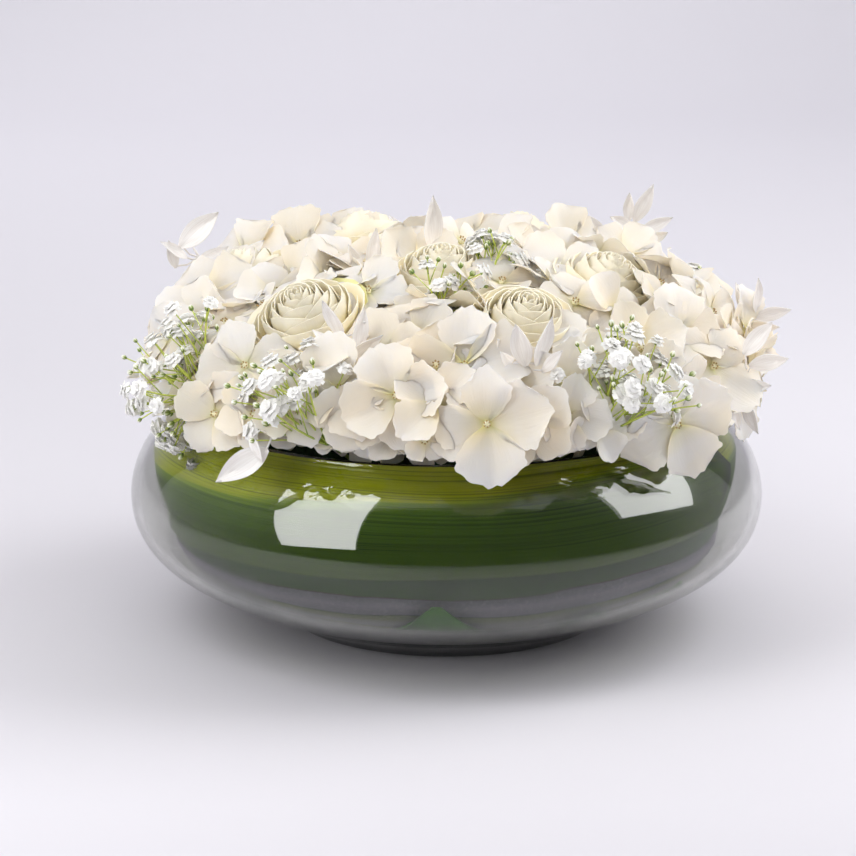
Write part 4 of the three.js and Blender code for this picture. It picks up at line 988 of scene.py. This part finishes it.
def ruscus_spray(number, azimuth, radius, lean, reach, count):
    """The stem comes out of the foam, bends into its own lean, and carries its leaves on alternate sides, each
    turned 2.4 radians from the last."""
    point = dome(azimuth, turn_at(radius))[0]
    lift = polar(np.radians(azimuth), np.sin(np.radians(lean)), np.cos(np.radians(lean)))
    base, tip = point - 6 * lift, point + reach * lift
    stem = np.concatenate([stem_from_foam(azimuth, base, 10), np.linspace(base, tip, 6)[1:]])
    share = (np.arange(count) + 1) / count
    turn = LEAF_TURN * np.arange(count) + number
    first = unit(np.cross(lift, (0, 0, 1.0)) + 1e-6)
    side = first * np.cos(turn)[:, None] + np.cross(lift, first) * np.sin(turn)[:, None]
    headings = unit(lift + side * (1.0 - 0.75 * share[:, None]))
    starts = base + (tip - base) * (0.25 + 0.75 * share[:, None])
    lengths = RUSCUS_LEAF * (1.05 - 0.2 * share)
    return stem, starts, headings, unit(np.cross(np.cross(headings, side + 1e-6), headings)), lengths


def leaves_shown(rows, depth):
    """Leaves from the pixels of their roots and tips at a depth, with their faces turned to the camera and a bit
    upwards."""
    rows = np.array(rows, float)
    starts, tips = at_depth(rows[:, :2], depth), at_depth(rows[:, 2:4], depth + rows[:, 4])
    reach = tips - starts
    faces = unit(np.array([0, -1.0, 0.35]) + random.normal(0, 0.35, reach.shape))
    return starts, unit(reach), faces, np.linalg.norm(reach, axis=1)


# %% Ruscus leaf, bleached and dry
def bleached_leaf():
    """The colour is a ramp of streaks along the leaf, which are also the relief."""
    material, tree = start_material("ruscus_leaf_bleached_dry")
    veins = long_streaks(tree, 1.2, 16.0, 4.0)
    tone = add(tree, "ValToRGB", {"Fac": veins}, [(0.3, "E3DCD6"), (0.5, "F1ECE7"), (0.7, "F8F5F1")])
    finish_surface(tree, {"Base Color": tone, "Roughness": 0.5, **lit_through(0.3, (1.0, 0.9, 0.8))},
                   veins, 0.35, 0.4)
    return material


# %% Ruscus pieces
dry_leaf, leaf_count = bleached_leaf(), 0
for number, row in enumerate(RUSCUS):
    stem, *leaves = ruscus_spray(number, *row)
    if number in RUSCUS_SHOWN:
        leaves = leaves_shown(RUSCUS_SHOWN[number], stem[-4, 1] - 8)
    sheets = closed_sheets(ruscus_leaves(*leaves), RUSCUS_THICKNESS)
    starts, headings = leaves[:2]
    nearest = stem[np.linalg.norm(starts[:, None] - stem[4:-1], axis=-1).argmin(1) + 4]
    stalks = np.stack([nearest, (nearest + starts) / 2 - (0, 0, 1), starts + headings], 1)
    stem = tubes(stem[None], np.linspace(0.9, 0.6, len(stem)), 8)
    add_piece(f"ruscus_{number + 1}", "_leaves",
              [(stem, dry_leaf), (sheets, dry_leaf), (tubes(stalks, 0.45, 4), dry_leaf)])
    leaf_count += len(starts)
print("ruscus leaves:", leaf_count)

# %% [markdown]
# The picture is taken from a little above the rim with a long lens, so the dome and the bowl are both seen from the
# side, with little perspective. The camera stands where the sight lines above start.

# %% Camera
def add_object(name, data, place, turn=(0, 0, 0)):
    """An object in the scene at a place in metres, turned by angles in degrees."""
    thing = bpy.data.objects.new(name, data)
    thing.location, thing.rotation_euler = place, np.radians(turn)
    bpy.context.scene.collection.objects.link(thing)
    return thing


lens = bpy.data.cameras.new("camera")
lens.lens, lens.sensor_width = CAMERA_LENS, SENSOR_WIDTH
bpy.context.scene.camera = add_object("camera", lens, CAMERA_PLACE * MM, (90 - CAMERA_DOWN, 0, 0))

# %% [markdown]
# The floor is one sheet of matt studio paper that curves up behind the piece, so no edge shows, and it is large
# enough for every view. Paper has no gloss, so it is rough. Its colour is painted light and shade: it goes from grey
# near the camera to nearly white at the far wall, as on a set that is lit less in front.

# %% Floor and background
STAGE_WIDTH, BEND_START, BEND_RADIUS, STAGE_HEIGHT = 3.2, 1.6, 0.6, 2.8
STAGE_FRONT, TONE_START, TONE_END = -2.6, -1.0, BEND_START + BEND_RADIUS
bend = np.radians(np.linspace(0, 90, 24))
outline = np.concatenate([
    [(STAGE_FRONT, 0)], np.stack([BEND_START + BEND_RADIUS * np.sin(bend), BEND_RADIUS * (1 - np.cos(bend))], -1),
    [(BEND_START + BEND_RADIUS, STAGE_HEIGHT)]])
edges = [np.insert(outline, 0, x, axis=1) for x in (-STAGE_WIDTH, STAGE_WIDTH)]
row = np.arange(len(outline))
stage_faces = np.stack([row[:-1], row[:-1] + len(row), row[1:] + len(row), row[1:]], -1)
stage_mesh = bpy.data.meshes.new("studio_floor")
stage_mesh.from_pydata(np.concatenate(edges), [], stage_faces.tolist())
stage_mesh.shade_smooth()
paper, tree = start_material("studio_paper_painted_light_and_shade")
depth = add(tree, "SeparateXYZ", {"Vector": add(tree, "TexCoord", out="Object")}, out="Y")
share = add(tree, "MapRange", {"Value": depth, "From Min": TONE_START, "From Max": TONE_END})
# Painted light and shade: the paper's colour darkens towards the camera and brightens towards the far wall.
tone = add(tree, "ValToRGB", {"Fac": share}, [
    (0.06, "BAB8BE"), (0.23, "DCDADF"), (0.47, "E2E0E5"), (0.72, "ECEAF0"), (1.0, "F6F4FA")])
finish_surface(tree, {"Base Color": tone, "Roughness": 0.9})
stage_mesh.materials.append(paper)
add_object("studio_floor", stage_mesh, (0, 0, 0))
print("stage faces:", len(stage_faces))

# %% [markdown]
# Two softboxes, left and right, make the two bright windows in the glass. A softbox that is as bright as its
# reflection looks would burn out the white petals, so each has a second lamp just in front, a glow, which shows in
# reflections only. A broad overhead lamp and two fills that no reflection shows open the shadows, and a wash lights
# the wall. The world is a soft grey studio, paler behind the piece, that the glass bends and mirrors.

# %% Lamps
def soft_lamp(name, heading, distance, width, height, radiance, roll=0, target=(0, 0, 0.09)):
    """A rectangular lamp at a distance from its target along a heading, turned to face the target and rolled
    about that line. Its power is its radiance times pi times its area."""
    lamp = bpy.data.lights.new(name, "AREA")
    lamp.shape, lamp.size, lamp.size_y = "RECTANGLE", width, height
    lamp.energy = radiance * np.pi * width * height
    heading = Vector(heading).normalized()
    facing = heading.to_track_quat("Z", "Y") @ Quaternion((0, 0, 1), np.radians(roll))
    thing = add_object(name, lamp, Vector(target) + heading * distance)
    thing.rotation_euler = facing.to_euler()
    return thing


# Each row: a side, its heading, distance, width, height, roll, and the radiance of the softbox and of its glow.
SOFTBOXES = [("left", (-0.633, -0.515, 0.575), 1.05, 0.55, 1.1, 16, 3.2, 6.4),
             ("right", (0.760, 0.04, 0.643), 1.12, 0.66, 0.9, -28, 4.0, 3.2)]
for side, heading, distance, width, height, roll, radiance, glow in SOFTBOXES:
    soft_lamp(side + "_softbox", heading, distance, width, height, radiance, roll)
    mirrored = soft_lamp(side + "_glow", heading, distance - 0.01, width, height, glow, roll)
    mirrored.visible_diffuse = mirrored.visible_transmission = False
soft_lamp("overhead", (0, -0.15, 1), distance=1.3, width=1.5, height=1.2, radiance=0.65)
wash = soft_lamp("back_wash", (0, -1, 1), distance=1.7, width=3.2, height=1.0, radiance=1.0,
                 target=(0, BEND_START + BEND_RADIUS, 0.1))
wash.visible_glossy = False
for name, heading, radiance in [("front_fill", (0.25, -0.9, 0.42), 1.35), ("back_fill", (-0.3, 0.9, 0.5), 0.6)]:
    fill = soft_lamp(name, heading, distance=1.9, width=1.6, height=1.2, radiance=radiance)
    fill.visible_glossy = fill.visible_transmission = False
print("lamps:", len(bpy.data.lights))

# %% The studio's own light
world = bpy.data.worlds.new("studio")
world.use_nodes = True
tree = world.node_tree
facing = add(tree, "SeparateXYZ", {"Vector": add(tree, "TexCoord", out="Generated")}, out="Y")
share = add(tree, "Math", {0: facing, 1: 0.5, 2: 0.5}, operation="MULTIPLY_ADD")
walls = add(tree, "ValToRGB", {"Fac": share}, [(0.0, "58575C"), (0.3, "7C7B82"), (0.55, "D8D6DE"), (1.0, "ECEBF0")])
connect(tree, tree.nodes["Background"], {"Color": walls, "Strength": 0.7})
bpy.context.scene.world = world
bpy.context.scene.view_settings.view_transform = "Standard"

# %% Sizes
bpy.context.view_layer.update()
faces = [face for thing in bpy.data.objects if thing.type == "MESH" for face in thing.data.polygons]
print("triangles:", sum(len(face.vertices) - 2 for face in faces))
